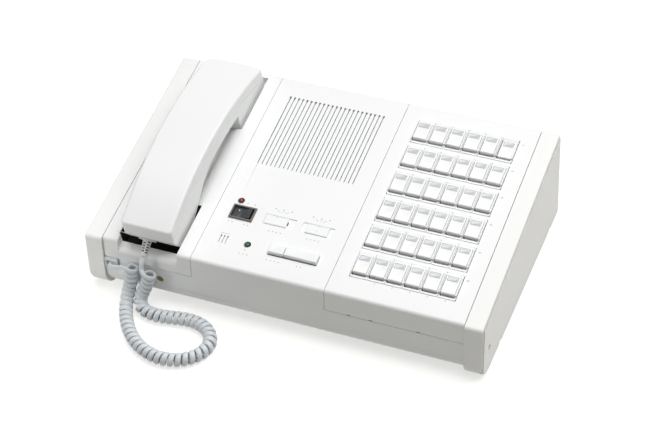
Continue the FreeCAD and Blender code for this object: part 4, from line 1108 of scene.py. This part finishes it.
@dataclass
class BarKeys:
    """The call and talk keys: low bars with a faintly dished top."""

    front: float = 24.2
    depth: float = 9.4
    top: float = 3.8
    low: float = -6.0
    slit: float = 1.0
    shade_heights: tuple[float, float] = (-1.6, -0.5)
    call: tuple[float, float] = (-18.9, -4.4)
    talk: tuple[float, float] = (-3.8, 26.7)

    def bar(self, name: str, span: tuple[float, float], body: Body, node: str) -> None:
        """Model one bar key with soft edges, a dished top and its foot flange.

        Args:
            name: Name of the piece.
            span: Its left and right side.
            body: The body that it rides on.
            node: The node that it stands for.
        """
        left, right = span
        rear = self.front + self.depth
        piece = block(name, (left, self.front, self.low), (right, rear, self.top))
        with shaping(piece):
            all_over()
            slice_at((0, 0, self.low + 1.2), (0, 0, 1))
            pick_faces(piece, lambda spot, way: abs(way.y) > 0.9 and spot.z < self.low + 1.2)
            bpy.ops.mesh.extrude_faces_move(MESH_OT_extrude_faces_indiv={},
                                            TRANSFORM_OT_shrink_fatten={"value": 1.2 * MM})
            round_edges(piece, 0.8, 5, lambda spot, way: abs(spot.z - self.top) < 0.01
                        or abs(way.z) > 0.9 and spot.z > self.low + 1.3)
            pick_faces(piece, lambda spot, way: way.z > 0.99 and spot.z > self.top - 0.01)
            inset(0.9)
            inset(0.8, -0.12)
        on_deck(piece, CONTROL_ABS, body, node)

    def slit_shade_strip(self) -> None:
        """Model the near-black strip that fills the slits before and beside the keys: painted shade for the
        slits' shadow.
        """
        slit = self.slit - 0.1
        left, right = self.call[0] - slit, self.talk[1] + slit
        piece = block("bar_slit_shade_strip", (left, self.front - slit, self.shade_heights[0]),
                      (right, self.front - 0.1, self.shade_heights[1]))
        with shaping(piece):
            all_over()
            slice_at((right - 0.6, 0, 0), (1, 0, 0))
            pick_faces(piece, lambda spot, way: way.y > 0.9 and spot.x > right - 0.6)
            pull((0, self.depth, 0))
            round_edges(piece, 0.1, 2, lambda spot, way: spot.z > self.shade_heights[1] - 0.01)
        # the strip is painted shade, near-black in the slits
        on_deck(piece, SHADE_BLACK, Body.HOUSING)

    def build(self) -> None:
        """Model both keys and the near-black strip of painted shade in the slits."""
        self.bar("call_bar", self.call, Body.CALL, "call_key")
        self.bar("talk_bar", self.talk, Body.TALK, "talk_key")
        self.slit_shade_strip()


@dataclass
class PowerRocker:
    """The dark rocker of the power switch, pressed down at its left."""

    x: float = -57.4
    v: float = 60.0
    pivot: float = -3.0
    tip: float = 9.0
    half_length: float = 8.9
    half_depth: float = 5.7
    crest: float = 4.6
    valley: float = 3.2
    low: float = -1.0
    dot: tuple[float, float] = (-3.6, 2.2)
    dot_radius: float = 0.6

    def build(self) -> None:
        """Model the rocker about its pivot and tip it."""
        piece = block("switch_rocker", (-self.half_length, -self.half_depth, self.low),
                      (self.half_length, self.half_depth, self.crest))
        with shaping(piece):
            all_over()
            slice_at((0, 0, 0), (1, 0, 0))
            pick_edges(piece, lambda spot, way: abs(spot.x) < 0.01 and spot.z > self.crest - 0.01)
            bpy.ops.transform.translate(value=(0, 0, (self.valley - self.crest) * MM))
            pick_edges(piece, lambda spot, way: abs(spot.x) < 0.01 and spot.z < self.low + 0.01)
            bpy.ops.mesh.bevel(offset=3.6 * MM, segments=1, affect="EDGES")
            pick_faces(piece, lambda spot, way: way.z < -0.9 and abs(spot.x) < 3)
            pull((0, 0, -5.4))
            round_edges(piece, 0.5, 3, lambda spot, way: spot.z > self.low + 0.5
                        and (abs(way.z) > 0.9 or abs(abs(spot.x) - self.half_length) < 0.01
                             or abs(abs(spot.y) - self.half_depth) < 0.01))
            round_edges(piece, 0.8, 3, lambda spot, way: abs(spot.x) < 0.01 and abs(way.y) > 0.9
                        and spot.z > 0)
        close_normals(piece)
        dot_x, dot_y = self.dot
        slant = math.atan2(self.crest - self.valley, self.half_length)
        face = self.valley - dot_x * math.tan(slant)
        dot = disc("switch_dot", self.dot_radius, (0, 0, 0.01), 20)
        with shaping(dot):
            all_over()
            pull((0, 0, 0.04))
            inset(0.1)
        close_normals(dot)
        dot.data.transform(Matrix.Translation(Vector((dot_x, dot_y, face)) * MM)
                           @ Matrix.Rotation(slant, 4, "Y"))
        turn = Matrix.Rotation(math.radians(-self.tip), 4, "Y")
        for shaped in (piece, dot):
            shaped.data.transform(DECK.place(self.x, self.v, self.pivot) @ turn)
        settle(piece, ROCKER_NYLON, Body.POWER, "power_rocker")
        settle(dot, WHITE_INK, Body.POWER)


@dataclass
class Lamp:
    """A domed indicator in a countersunk ring."""

    name: str
    x: float
    v: float
    finish: Finish
    radius: float = 2.4
    ring: float = 3.5
    dome_n: float = -0.9
    ring_top: float = 0.35
    ring_depth: float = 1.6

    def build(self) -> None:
        """Model the dome on its stem and the ring round it."""
        bpy.ops.mesh.primitive_uv_sphere_add(segments=32, ring_count=16, radius=self.radius * MM,
                                             location=(self.x * MM, self.v * MM, self.dome_n * MM))
        dome = named(self.name + "_lamp")
        with shaping(dome):
            all_over()
            slice_at((0, 0, self.dome_n), (0, 0, 1), clear_inner=True)
            pick_edges(dome, lambda spot, way: spot.z < self.dome_n + 0.01)
            pull((0, 0, -5.0))
            bpy.ops.mesh.edge_face_add()
        close_normals(dome)
        ring = disc(self.name + "_lamp_ring", self.ring, (self.x, self.v, -2.4), 40)
        with shaping(ring):
            all_over()
            pull((0, 0, 2.4 + self.ring_top))
            inset(0.25)
            inset(0.7, -self.ring_depth)
            bpy.ops.mesh.delete(type="FACE")
            pick_faces(ring, lambda spot, way: spot.z < -2.39)
            inset(0.95)
            bpy.ops.mesh.delete(type="FACE")
            inner = self.ring - 0.95
            pick_edges(ring, lambda spot, way: (spot - Vector((self.x, self.v, spot.z))).length < inner + 0.05
                       and abs(way.z) < 0.1)
            bpy.ops.mesh.bridge_edge_loops()
        close_normals(ring)
        # the seat's sloping cone faces get painted shade
        cone = [face.index for face in ring.data.polygons if 0.1 < face.normal.z < 0.95]
        for piece, finish in ((dome, self.finish), (ring, BODY_ABS)):
            settle(DECK.lay(piece), finish, Body.HOUSING, "indicator_lamps")
        touch_up(ring, LAMP_SEAT_SHADE, lambda spot, face: face.index in cone)


# ---------------------------------------------------------------- cord

# The cord's route, in metres: out of the handset's strain relief, round the curly stretch's
# middle line, and along the straight lead into the jack.
HANDSET_LEAD = [(-0.1274, -0.1143, 0.0559), (-0.1274, -0.1176, 0.0532), (-0.1283, -0.1190, 0.0480),
                (-0.1280, -0.1196, 0.0424), (-0.1252, -0.1196, 0.0378)]
CURLY_ROUTE = [
    (-0.1209, -0.1194, 0.0412), (-0.1240, -0.1198, 0.0300), (-0.1282, -0.1208, 0.0200),
    (-0.1314, -0.1238, 0.0126), (-0.1292, -0.1294, 0.0076), (-0.1212, -0.1338, 0.0065),
    (-0.1096, -0.1348, 0.0065), (-0.0960, -0.1326, 0.0065), (-0.0830, -0.1304, 0.0065),
    (-0.0696, -0.1314, 0.0065), (-0.0570, -0.1384, 0.0065), (-0.0502, -0.1516, 0.0065),
    (-0.0548, -0.1664, 0.0065), (-0.0680, -0.1774, 0.0065), (-0.0850, -0.1810, 0.0065),
    (-0.1016, -0.1776, 0.0065), (-0.1170, -0.1688, 0.0065), (-0.1294, -0.1558, 0.0065),
    (-0.1378, -0.1430, 0.0066), (-0.1426, -0.1318, 0.0084), (-0.1434, -0.1238, 0.0154),
    (-0.1406, -0.1200, 0.0260), (-0.1382, -0.1194, 0.0442)]
JACK_LEAD = [(-0.1430, -0.1202, 0.0412), (-0.1494, -0.1208, 0.0409), (-0.1556, -0.1206, 0.0399),
             (-0.1604, -0.1194, 0.0380), (-0.1626, -0.1174, 0.0364), (-0.1626, -0.1142, 0.0358)]


def along_spline(points: Sequence[Triple]) -> list[Vector]:
    """Read the points of a smooth line that is drawn to a route.

    Args:
        points: The route's points, in metres.

    Returns:
        Points along a NURBS spline with the route's points as its control points.
    """
    curve = bpy.data.curves.new("route", "CURVE")
    curve.dimensions = "3D"
    spline = curve.splines.new("NURBS")
    spline.points.add(len(points) - 1)
    for spot, point in zip(spline.points, points):
        spot.co = (*point, 1.0)
    spline.order_u = 3
    spline.use_endpoint_u = True
    spline.resolution_u = 16
    holder = bpy.data.objects.new("route", curve)
    bpy.context.scene.collection.objects.link(holder)
    mesh = bpy.data.meshes.new_from_object(holder)
    line = [corner.co.copy() for corner in mesh.vertices]
    bpy.data.objects.remove(holder)
    bpy.data.meshes.remove(mesh)
    return line


def join_smoothly(start: Vector, way: Vector, end: Vector, end_way: Vector, steps: int) -> list[Vector]:
    """Give the points between two ends of a cable that keeps its directions.

    Args:
        start: Where the cable comes from.
        way: Its direction there, of length 1.
        end: Where it goes.
        end_way: Its direction there, of length 1.
        steps: Number of steps.

    Returns:
        The points between the ends, without them.
    """
    reach = (end - start).length * 0.42
    first = start + way * reach
    second = end - end_way * reach
    line = []
    for step in range(1, steps):
        t = step / steps
        line.append(start * (1 - t) ** 3 + first * 3 * t * (1 - t) ** 2
                    + second * 3 * t ** 2 * (1 - t) + end * t ** 3)
    return line


@dataclass
class CurlyCord:
    """A flat oval cable wound to a spring, with straight leads at both ends.

    Attributes:
        turns: About how many turns it is wound to.
        coil: Radius of the turns at the cable's middle.
        width: Width of the flat cable, along the coil.
        thickness: Thickness of the flat cable.
        per_turn: Stations along the cable for one turn.
        around: Points round the cable's section.
        length: The cable's real length, in metres; not used.
        swell: Share by which the cable thickens towards the plug, over its last stations.
        swollen: Number of those stations.
        held: Share of the cable, from the handset, that moves wholly with it.
        loose: Share of the cable from which on it stays on the desk.
        head_kept: Share of the handset's lead that stays straight before the first turn.
        tail_cut: Share of the jack's lead that the last turn takes up.
        bend_steps: Steps in the bends between the leads and the turns.
        first_turn: Where the winding starts, in degrees from the front.
        last_turn: How far before the front it ends, in degrees.
        squareness: Exponent of the section; 1 is an ellipse and less is squarer.
    """

    turns: float = 50.0
    coil: float = 5.05
    width: float = 5.0
    thickness: float = 2.6
    per_turn: int = 26
    around: int = 14
    length: float = 1.67
    swell: float = 0.14
    swollen: int = 60
    held: float = 0.03
    loose: float = 0.5
    head_kept: float = 0.62
    tail_cut: float = 0.3
    bend_steps: int = 16
    first_turn: float = 12.0
    last_turn: float = 20.0
    squareness: float = 0.9

    def winding(self) -> tuple[list[Vector], list[Vector]]:
        """Wind the cable round the curly stretch's middle line.

        Returns:
            The cable's middle line, and at each point the direction of its width.
        """
        axis = along_spline(CURLY_ROUTE)
        reach = [0.0]
        for one, other in zip(axis, axis[1:]):
            reach.append(reach[-1] + (other - one).length)
        ways = directions(axis)
        front = Vector((0, -1, 0))
        side = (front - ways[0] * front.dot(ways[0])).normalized()
        sides = [side]
        for way in ways[1:]:
            side = (side - way * side.dot(way)).normalized()
            sides.append(side)
        # the last turn ends at the front as well, so that the lead leaves to the left
        last = (front - ways[-1] * front.dot(ways[-1])).normalized()
        past = math.atan2(last.dot(ways[-1].cross(sides[-1])), last.dot(sides[-1]))
        start = math.radians(self.first_turn)
        wanted = -2 * math.pi * self.turns
        finish = past - math.radians(self.last_turn)
        finish += 2 * math.pi * round((wanted - finish) / (2 * math.pi))
        total = int(abs(finish - start) / (2 * math.pi) * self.per_turn)
        line, widths = [], []
        at = 0
        for step in range(total + 1):
            share = step / total
            here = share * reach[-1]
            while at < len(reach) - 2 and reach[at + 1] < here:
                at += 1
            mix = (here - reach[at]) / (reach[at + 1] - reach[at])
            spot = axis[at].lerp(axis[at + 1], mix)
            way = ways[at].lerp(ways[at + 1], mix).normalized()
            side = sides[at].lerp(sides[at + 1], mix)
            side = (side - way * side.dot(way)).normalized()
            angle = start + (finish - start) * share
            line.append(spot + (side * math.cos(angle) + way.cross(side) * math.sin(angle)) * self.coil * MM)
            widths.append(way)
        return line, widths

    def whole(self) -> tuple[list[Vector], list[Vector]]:
        """Join the leads to the winding.

        Returns:
            The cable's middle line and the direction of its width at each point.
        """
        wound, widths = self.winding()
        head = along_spline(HANDSET_LEAD)
        head = head[:int(len(head) * self.head_kept)]
        tail = along_spline(JACK_LEAD)
        tail = tail[int(len(tail) * self.tail_cut):]
        into = join_smoothly(head[-1], (head[-1] - head[-2]).normalized(), wound[0],
                             (wound[1] - wound[0]).normalized(), self.bend_steps)
        out = join_smoothly(wound[-1], (wound[-1] - wound[-2]).normalized(), tail[0],
                            (tail[1] - tail[0]).normalized(), self.bend_steps)
        line = head + into + wound + out + tail
        # the handset lead shows its flat side to the front; the jack lead keeps it upright
        left, up = Vector((-1, 0, 0)), Vector((0, 0, 1))
        width = [left] * len(head)
        width += [left.lerp(widths[0], (step + 1) / (len(into) + 1)) for step in range(len(into))]
        width += widths
        width += [widths[-1].lerp(up, (step + 1) / (len(out) + 1)) for step in range(len(out))]
        width += [up] * len(tail)
        return line, [(one - way * one.dot(way)).normalized() for one, way in zip(width, directions(line))]

    def section(self) -> list[tuple[float, float]]:
        """Give the cable's flat oval section as points (along its width, outwards).

        Returns:
            The points in order round the section.
        """
        points = []
        for step in range(self.around):
            turn = 2 * math.pi * step / self.around
            flat = lambda part: math.copysign(abs(part) ** self.squareness, part)
            points.append((flat(math.cos(turn)) * self.width / 2, flat(math.sin(turn)) * self.thickness / 2))
        return points

    def follow_along(self, mesh: bpy.types.Mesh, stations: int) -> None:
        """Make each ring of the section follow the handset as a whole, less and less along the cable.

        Args:
            mesh: The cord's mesh, one ring of points for each station.
            stations: Number of stations along the cable.
        """
        weights = []
        for station in range(stations):
            near = min(max(1 - (station / stations - self.held) / (self.loose - self.held), 0.0), 1.0)
            weights.extend([near * near * (3 - 2 * near)] * self.around)
        mesh.attributes["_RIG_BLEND"].data.foreach_set("value", weights)

    def build(self, relief: Object, plug: Object) -> Object:
        """Sweep the section along the whole cable.

        Args:
            relief: The strain relief that the cable comes out of.
            plug: The plug on its far end.

        Returns:
            The cord.
        """
        line, widths = self.whole()
        section = self.section()
        corners, faces = [], []
        for index, (spot, width, way) in enumerate(zip(line, widths, directions(line))):
            out = way.cross(width)
            near = max(1 - (len(line) - 1 - index) / self.swollen, 0.0)
            size = (1 + self.swell * math.sin(near * math.pi / 2)) * MM
            corners.extend(spot + width * across * size + out * up * size for across, up in section)
            if index:
                base = (index - 1) * self.around
                for point in range(self.around):
                    following = (point + 1) % self.around
                    faces.append((base + point, base + following, base + self.around + following,
                                  base + self.around + point))
        last = (len(line) - 1) * self.around
        faces.append(tuple(reversed(range(self.around))))
        faces.append(tuple(range(last, last + self.around)))
        mesh = bpy.data.meshes.new("curly_cord")
        mesh.from_pydata(corners, [], faces)
        piece = bpy.data.objects.new("curly_cord", mesh)
        bpy.context.scene.collection.objects.link(piece)
        close_normals(piece)
        only(piece)
        bpy.ops.object.shade_smooth_by_angle(angle=math.radians(40))
        mesh.materials.append(CORD_PVC.material())
        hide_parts("handset_cord")
        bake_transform(piece, Body.HOUSING.value, Body.HANDSET.value, start=line[len(line) // 2],
                 end=line[0])
        self.follow_along(mesh, len(line))
        measured = sum((other - one).length for one, other in zip(line, line[1:]))
        log.info("curly_cord: %.3f m along its middle, %d faces", measured, len(mesh.polygons))
        return piece


@dataclass
class StrainRelief:
    """The slotted sleeve that stands on its foot plate on the handset's chin.

    Attributes:
        foot: Middle of the plate's underside.
        way: Direction in which the sleeve points.
        plate: Width and depth of the plate.
        plate_height: Thickness of the plate.
        base: Radius of the sleeve at the plate.
        tip: Radius of the sleeve at its end.
        length: From the plate's underside to the sleeve's end.
        rings: Slotted rings along the sleeve; the slots of neighbours are staggered.
        ring: Height of a ring.
        rows: Rows of slots round the sleeve.
        first_row: Where the first row is, in degrees about the sleeve.
        sides: Flats of the sleeve.
        slot_depth: How deep the slots go in.
    """

    foot: Triple = (-127.4, -101.7, 66.2)
    way: Triple = (0.0, -0.776, -0.630)
    plate: tuple[float, float] = (15.0, 8.0)
    plate_height: float = 1.6
    base: float = 4.3
    tip: float = 3.0
    length: float = 16.0
    rings: int = 9
    ring: float = 1.2
    rows: int = 6
    first_row: float = 40.0
    sides: int = 36
    slot_depth: float = 1.7

    def radius(self, height: float) -> float:
        """Radius of the tapered sleeve at a height above the plate's underside."""
        return self.base + (self.tip - self.base) * max(height, 0.0) / self.length

    def in_row(self, spot: Vector, ring: int) -> bool:
        """Whether a face's middle lies in one of a ring's slots.

        Args:
            spot: The face's middle, in millimetres.
            ring: Number of the ring.

        Returns:
            True where a slot is pressed in.
        """
        spacing = 360 / self.rows
        turn = math.degrees(math.atan2(spot.y, spot.x)) - self.first_row + spacing * (ring % 2)
        turn %= 2 * spacing
        return min(turn, 2 * spacing - turn) < spacing / 3

    def sleeve(self) -> Object:
        """Draw the sleeve out of a disc, ring by ring, and press the slots in.

        Returns:
            The sleeve.
        """
        piece = disc("strain_relief_sleeve", self.base, (0, 0, 0.2), self.sides)
        height = 0.2
        steps = [self.plate_height + 0.5] + [self.ring] * self.rings
        steps.append(self.length - sum(steps) - height)
        with shaping(piece):
            all_over()
            for step in steps:
                before = self.radius(height)
                height += step
                pull((0, 0, step))
                bpy.ops.transform.resize(value=(self.radius(height) / before,) * 2 + (1.0,))
            inset(0.4, 0.15)
            low = self.plate_height + 0.7
            for ring in range(self.rings):
                middle = low + (ring + 0.5) * self.ring
                pick_faces(piece, lambda spot, way: abs(spot.z - middle) < 0.1 and self.in_row(spot, ring))
                inwards = 1 - self.slot_depth / self.radius(middle)
                pull((0, 0, 0))
                bpy.ops.transform.resize(value=(inwards, inwards, 0.85), center_override=(0, 0, middle * MM))
        close_normals(piece)
        return piece

    def build(self) -> Object:
        """Join the sleeve to its foot plate and stand it on the chin.

        Returns:
            The strain relief.
        """
        piece = self.sleeve()
        half, depth = self.plate[0] / 2, self.plate[1] / 2
        plate = block("foot_plate", (-half, -depth, 0), (half, depth, self.plate_height))
        with shaping(plate):
            round_edges(plate, 1.2, 4, lambda spot, way: abs(way.z) > 0.9)
            round_edges(plate, 0.3, 3, lambda spot, way: spot.z > self.plate_height - 0.01)
        apply_modifier(piece, "BOOLEAN", object=plate, operation="UNION", solver="EXACT")
        discard(plate)
        turn = Vector((0, 0, 1)).rotation_difference(Vector(self.way)).to_matrix().to_4x4()
        place = Matrix.Translation(Vector(self.foot) * MM) @ turn
        piece.data.transform(place)
        settle(piece, RELIEF_PVC, Body.HANDSET, "handset_strain_relief")
        # painted shade: the faces pressed into the slots turn dark grey
        touch_up(piece, SLOT_SHADE_PVC, lambda spot, face: spot.xy.length < self.radius(spot.z) - 0.3
                 and self.plate_height + 0.3 < spot.z < self.length - 0.5, place.inverted())
        return piece


@dataclass
class ModularPlug:
    """The clear plug in the jack: a body with a hollow mouth, a latch and contacts."""

    low: Triple = (-168.5, -114.1, 30.1)
    high: Triple = (-156.5, -105.5, 40.5)
    wall: float = 1.2
    mouth: float = 3.4
    contacts: int = 4

    def build(self) -> Object:
        """Model the plug's body with its cable mouth and latch, and its contacts.

        Returns:
            The plug's body.
        """
        piece = block("modular_plug", self.low, self.high)
        left, front, bottom = self.low
        with shaping(piece):
            pick_faces(piece, lambda spot, way: way.y < -0.9)
            inset(self.wall)
            pull((0, self.mouth, 0))
            pick_faces(piece, lambda spot, way: way.z > 0.9 and spot.z > self.high[2] - 0.1)
            inset(1.6)
            pull((0, 0, 0.3))
            round_edges(piece, 0.4, 3, lambda spot, way: abs(spot.y - front) < 0.01 or abs(way.y) > 0.9
                        and (abs(spot.x - left) < 0.01 or abs(spot.x - self.high[0]) < 0.01))
        close_normals(piece)
        for number in range(self.contacts):
            x = left + 4.2 + number * 1.02
            blade = block("plug_contact_%d" % (number + 1), (x, self.high[1] - 3.4, bottom - 0.05),
                          (x + 0.4, self.high[1] - 0.4, bottom + 2.2))
            with shaping(blade):
                round_edges(blade, 0.12, 2, lambda spot, way: spot.z < bottom)
            settle(blade, GOLD_PLATE, Body.HOUSING)
        return settle(piece, PLUG_POLYCARBONATE, Body.HOUSING, "cord_plug")


# ---------------------------------------------------------------- printed marks

@dataclass
class PrintedMarks:
    """Plain numbers, dots and lines printed on the deck in grey."""

    keys: StationKeys
    raised: float = 0.02
    thickness: float = 0.04
    digit: float = 2.6
    dot_pitch: float = 3.7
    dot_rows: tuple[tuple[float, float, int], ...] = (
        (-57.3, 71.8, 1), (-50.1, 71.8, 1), (-66.9, 48.4, 2), (-51.6, 48.2, 2), (-27.6, 48.0, 4),
        (8.2, 48.7, 4), (-39.8, 22.2, 1), (-43.5, 17.6, 3), (-17.5, 17.7, 4), (10.6, 18.2, 2))

    def stroke(self, name: str, start: tuple[float, float], end: tuple[float, float], width: float) -> Object:
        """Print one straight line with cut corners between two deck points (x, v).

        Args:
            name: Name of the mark.
            start: Its first point.
            end: Its last point.
            width: Its width.

        Returns:
            The mark.
        """
        one, other = Vector((*start, 0.0)), Vector((*end, 0.0))
        length = (other - one).length
        piece = block(name, (0, -width / 2, self.raised), (length, width / 2, self.raised + self.thickness))
        with shaping(piece):
            round_edges(piece, width * 0.3, 2, lambda spot, way: abs(way.z) > 0.9)
        turn = Vector((1, 0, 0)).rotation_difference((other - one).normalized()).to_matrix().to_4x4()
        piece.data.transform(Matrix.Translation(one * MM) @ turn)
        return piece

    def dot(self, name: str, x: float, v: float, radius: float) -> Object:
        """Print one dot with a soft rim at a deck point.

        Args:
            name: Name of the mark.
            x: Place across the deck.
            v: Place up the deck.
            radius: Its radius.

        Returns:
            The mark.
        """
        piece = disc(name, radius, (x, v, self.raised), 20)
        with shaping(piece):
            all_over()
            pull((0, 0, self.thickness))
            inset(radius * 0.2)
        close_normals(piece)
        return piece

    def number(self, name: str, text: str, x: float, v: float) -> Object:
        """Print a plain number centred on a deck point.

        Args:
            name: Name of the mark.
            text: The number.
            x: Place across the deck.
            v: Place up the deck.

        Returns:
            The mark.
        """
        bpy.ops.object.text_add(location=(0, 0, 0))
        piece = bpy.context.active_object
        piece.data.body = text
        piece.data.size = self.digit * MM
        piece.data.align_x = "CENTER"
        piece.data.align_y = "CENTER"
        piece.data.extrude = self.thickness / 2 * MM
        piece.data.resolution_u = 4
        only(piece)
        bpy.ops.object.convert(target="MESH")
        piece = named(name)
        piece.data.transform(Matrix.Translation(Vector((x, v, self.raised + self.thickness / 2)) * MM))
        close_normals(piece)
        return piece

    def build(self) -> None:
        """Print every mark and join each group of them to one piece."""
        groups = {"selector_marks": [], "microphone_mark": [], "key_numbers": [], "dot_rows": []}
        for name, centre in (("left", -22.7), ("right", 13.4)):
            for number, offset in enumerate((-7.8, 0.0, 7.6)):
                mark = "%s_%d" % (name, number)
                groups["selector_marks"].append(self.dot("dot_" + mark, centre + offset, 73.3, 0.6))
                groups["selector_marks"].append(self.stroke(
                    "line_" + mark, (centre + offset * 0.7, 72.1), (centre + offset * 0.3, 70.0), 0.35))
        for number, (x, v, count) in enumerate(self.dot_rows):
            for step in range(count):
                groups["dot_rows"].append(self.dot("row_dot_%d_%d" % (number, step),
                                                   x + step * self.dot_pitch, v, 0.5))
        groups["microphone_mark"].append(self.stroke("overline", (-68.6, 34.7), (-59.3, 34.7), 0.3))
        keys = self.keys
        for index in range(keys.count):
            column_x = keys.first_x + (index + 0.5) * keys.pitch
            row_v = keys.first_v - index * keys.row_pitch - 4.0
            groups["key_numbers"].append(self.number("column_%d" % index, str(index + 1), column_x, 19.4))
            groups["key_numbers"].append(self.number(
                "row_%d" % index, str((index + 1) * 10), keys.first_x + keys.count * keys.pitch + 4.0, row_v))
        for name, marks in groups.items():
            only(*marks)
            if len(marks) > 1:
                bpy.ops.object.join()
            piece = marks[0]
            piece.name = piece.data.name = name
            settle(DECK.lay(piece), PRINTED_INK, Body.HOUSING)


# ---------------------------------------------------------------- studio

@dataclass
class Studio:
    """A plain pale floor, one large soft light overhead and the camera."""

    camera_place: Triple = (0.515365, -1.119216, 1.194756)
    camera_turn: Triple = (46.8446, 3.3236, 21.7064)
    lens: float = 103.34
    sensor: float = 36.0
    light_way: Triple = (0.17, 0.16, 0.95)
    light_distance: float = 2.4
    light_size: float = 2.6
    light_power: float = 68.0
    fill_place: Triple = (-0.40, -0.34, 0.12)
    fill_aim: Triple = (-0.185, -0.12, 0.03)
    fill_power: float = 1.5
    fill_cone: float = 38.0
    fill_size: float = 0.06
    sky: float = 0.12
    floor_colour: str = "#D2D1CC"
    floor_glow: float = 0.62

    def background(self, tree: bpy.types.NodeTree) -> bpy.types.NodeSocket:
        """Lay out the test for rays that see the background: camera, glossy and transmission.

        Args:
            tree: Node tree of the world.

        Returns:
            The socket that gives 1 for such rays.
        """
        rays = add_node(tree, "ShaderNodeLightPath")
        direct = add_node(tree, "ShaderNodeMath", {"operation": "MAXIMUM"},
                          {0: rays.outputs["Is Camera Ray"], 1: rays.outputs["Is Glossy Ray"]})
        seen = add_node(tree, "ShaderNodeMath", {"operation": "MAXIMUM"},
                        {0: direct.outputs[0], 1: rays.outputs["Is Transmission Ray"]})
        return seen.outputs[0]

    def floor(self) -> None:
        """Lay the floor; seen directly it glows a little, so that it reads as white paper."""
        bpy.ops.mesh.primitive_plane_add(size=8.0, location=(0, 0, -0.0002))
        floor = named("floor")
        material = bpy.data.materials.new("matt_paper")
        material.use_nodes = True
        tree = material.node_tree
        tree.nodes.clear()
        place = add_node(tree, "ShaderNodeTexCoord").outputs["Object"]
        fibre = add_node(tree, "ShaderNodeTexNoise", {}, {"Vector": place, "Scale": 400.0})
        bump = add_node(tree, "ShaderNodeBump", {}, {"Height": fibre.outputs[0], "Distance": 0.00002})
        paper = add_node(tree, "ShaderNodeBsdfDiffuse", {}, {
            "Color": linear(self.floor_colour), "Normal": bump.outputs["Normal"]})
        glow = add_node(tree, "ShaderNodeEmission", {}, {"Color": (1, 1, 1, 1), "Strength": self.floor_glow})
        both = add_node(tree, "ShaderNodeAddShader", {}, {0: paper.outputs[0], 1: glow.outputs[0]})
        mixed = add_node(tree, "ShaderNodeMixShader", {}, {
            0: self.background(tree), 1: paper.outputs[0], 2: both.outputs[0]})
        add_node(tree, "ShaderNodeOutputMaterial", {}, {"Surface": mixed.outputs[0]})
        floor.data.materials.append(material)

    def world(self) -> None:
        """Make a dim sky that is white where it is seen directly."""
        world = bpy.data.worlds.new("studio")
        bpy.context.scene.world = world
        world.use_nodes = True
        tree = world.node_tree
        tree.nodes.clear()
        dim = add_node(tree, "ShaderNodeBackground", {}, {"Color": (1, 1, 1, 1), "Strength": self.sky})
        white = add_node(tree, "ShaderNodeBackground", {}, {"Color": (1, 1, 1, 1), "Strength": 1.0})
        mixed = add_node(tree, "ShaderNodeMixShader", {}, {
            0: self.background(tree), 1: dim.outputs[0], 2: white.outputs[0]})
        add_node(tree, "ShaderNodeOutputWorld", {}, {"Surface": mixed.outputs[0]})

    def light(self) -> None:
        """Hang the soft light overhead, a little behind and to the right."""
        way = Vector(self.light_way).normalized()
        lamp = bpy.data.lights.new("overhead", "AREA")
        lamp.shape = "SQUARE"
        lamp.size = self.light_size
        lamp.energy = self.light_power
        set_up("overhead", lamp, way * self.light_distance, way.to_track_quat("Z", "Y").to_euler())

    def fill(self) -> None:
        """Set a weak soft light low at the front left, aimed at the left cap's front."""
        lamp = bpy.data.lights.new("fill", "SPOT")
        lamp.energy = self.fill_power
        lamp.spot_size = math.radians(self.fill_cone)
        lamp.spot_blend = 1.0
        lamp.shadow_soft_size = self.fill_size
        way = Vector(self.fill_place) - Vector(self.fill_aim)
        set_up("fill", lamp, self.fill_place, way.to_track_quat("Z", "Y").to_euler())

    def camera(self) -> None:
        """Set up the camera at the given place and angle."""
        eye = bpy.data.cameras.new("camera")
        eye.lens = self.lens
        eye.sensor_width = self.sensor
        eye.clip_end = 20.0
        turn = [math.radians(angle) for angle in self.camera_turn]
        bpy.context.scene.camera = set_up("camera", eye, self.camera_place, turn)

    def build(self) -> None:
        """Set up the whole studio."""
        self.floor()
        self.world()
        self.light()
        self.fill()
        self.camera()
        bpy.context.scene.view_settings.view_transform = "Standard"


def main() -> None:
    """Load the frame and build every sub-assembly round it."""
    logging.basicConfig(level=logging.INFO, format="%(message)s")
    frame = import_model()
    Studio().build()
    CurlyCord().build(StrainRelief().build(), ModularPlug().build())
    Mouldings(frame["nodes"]).build()
    keys = StationKeys()
    keys.build()
    KeyFrames(keys).build()
    Selectors().build()
    BarKeys().build()
    PowerRocker().build()
    Lamp("red", -64.2, 73.0, RED_EPOXY).build()
    Lamp("green", -39.8, 28.3, GREEN_EPOXY).build()
    PrintedMarks(keys).build()


if __name__ == "__main__":
    main()
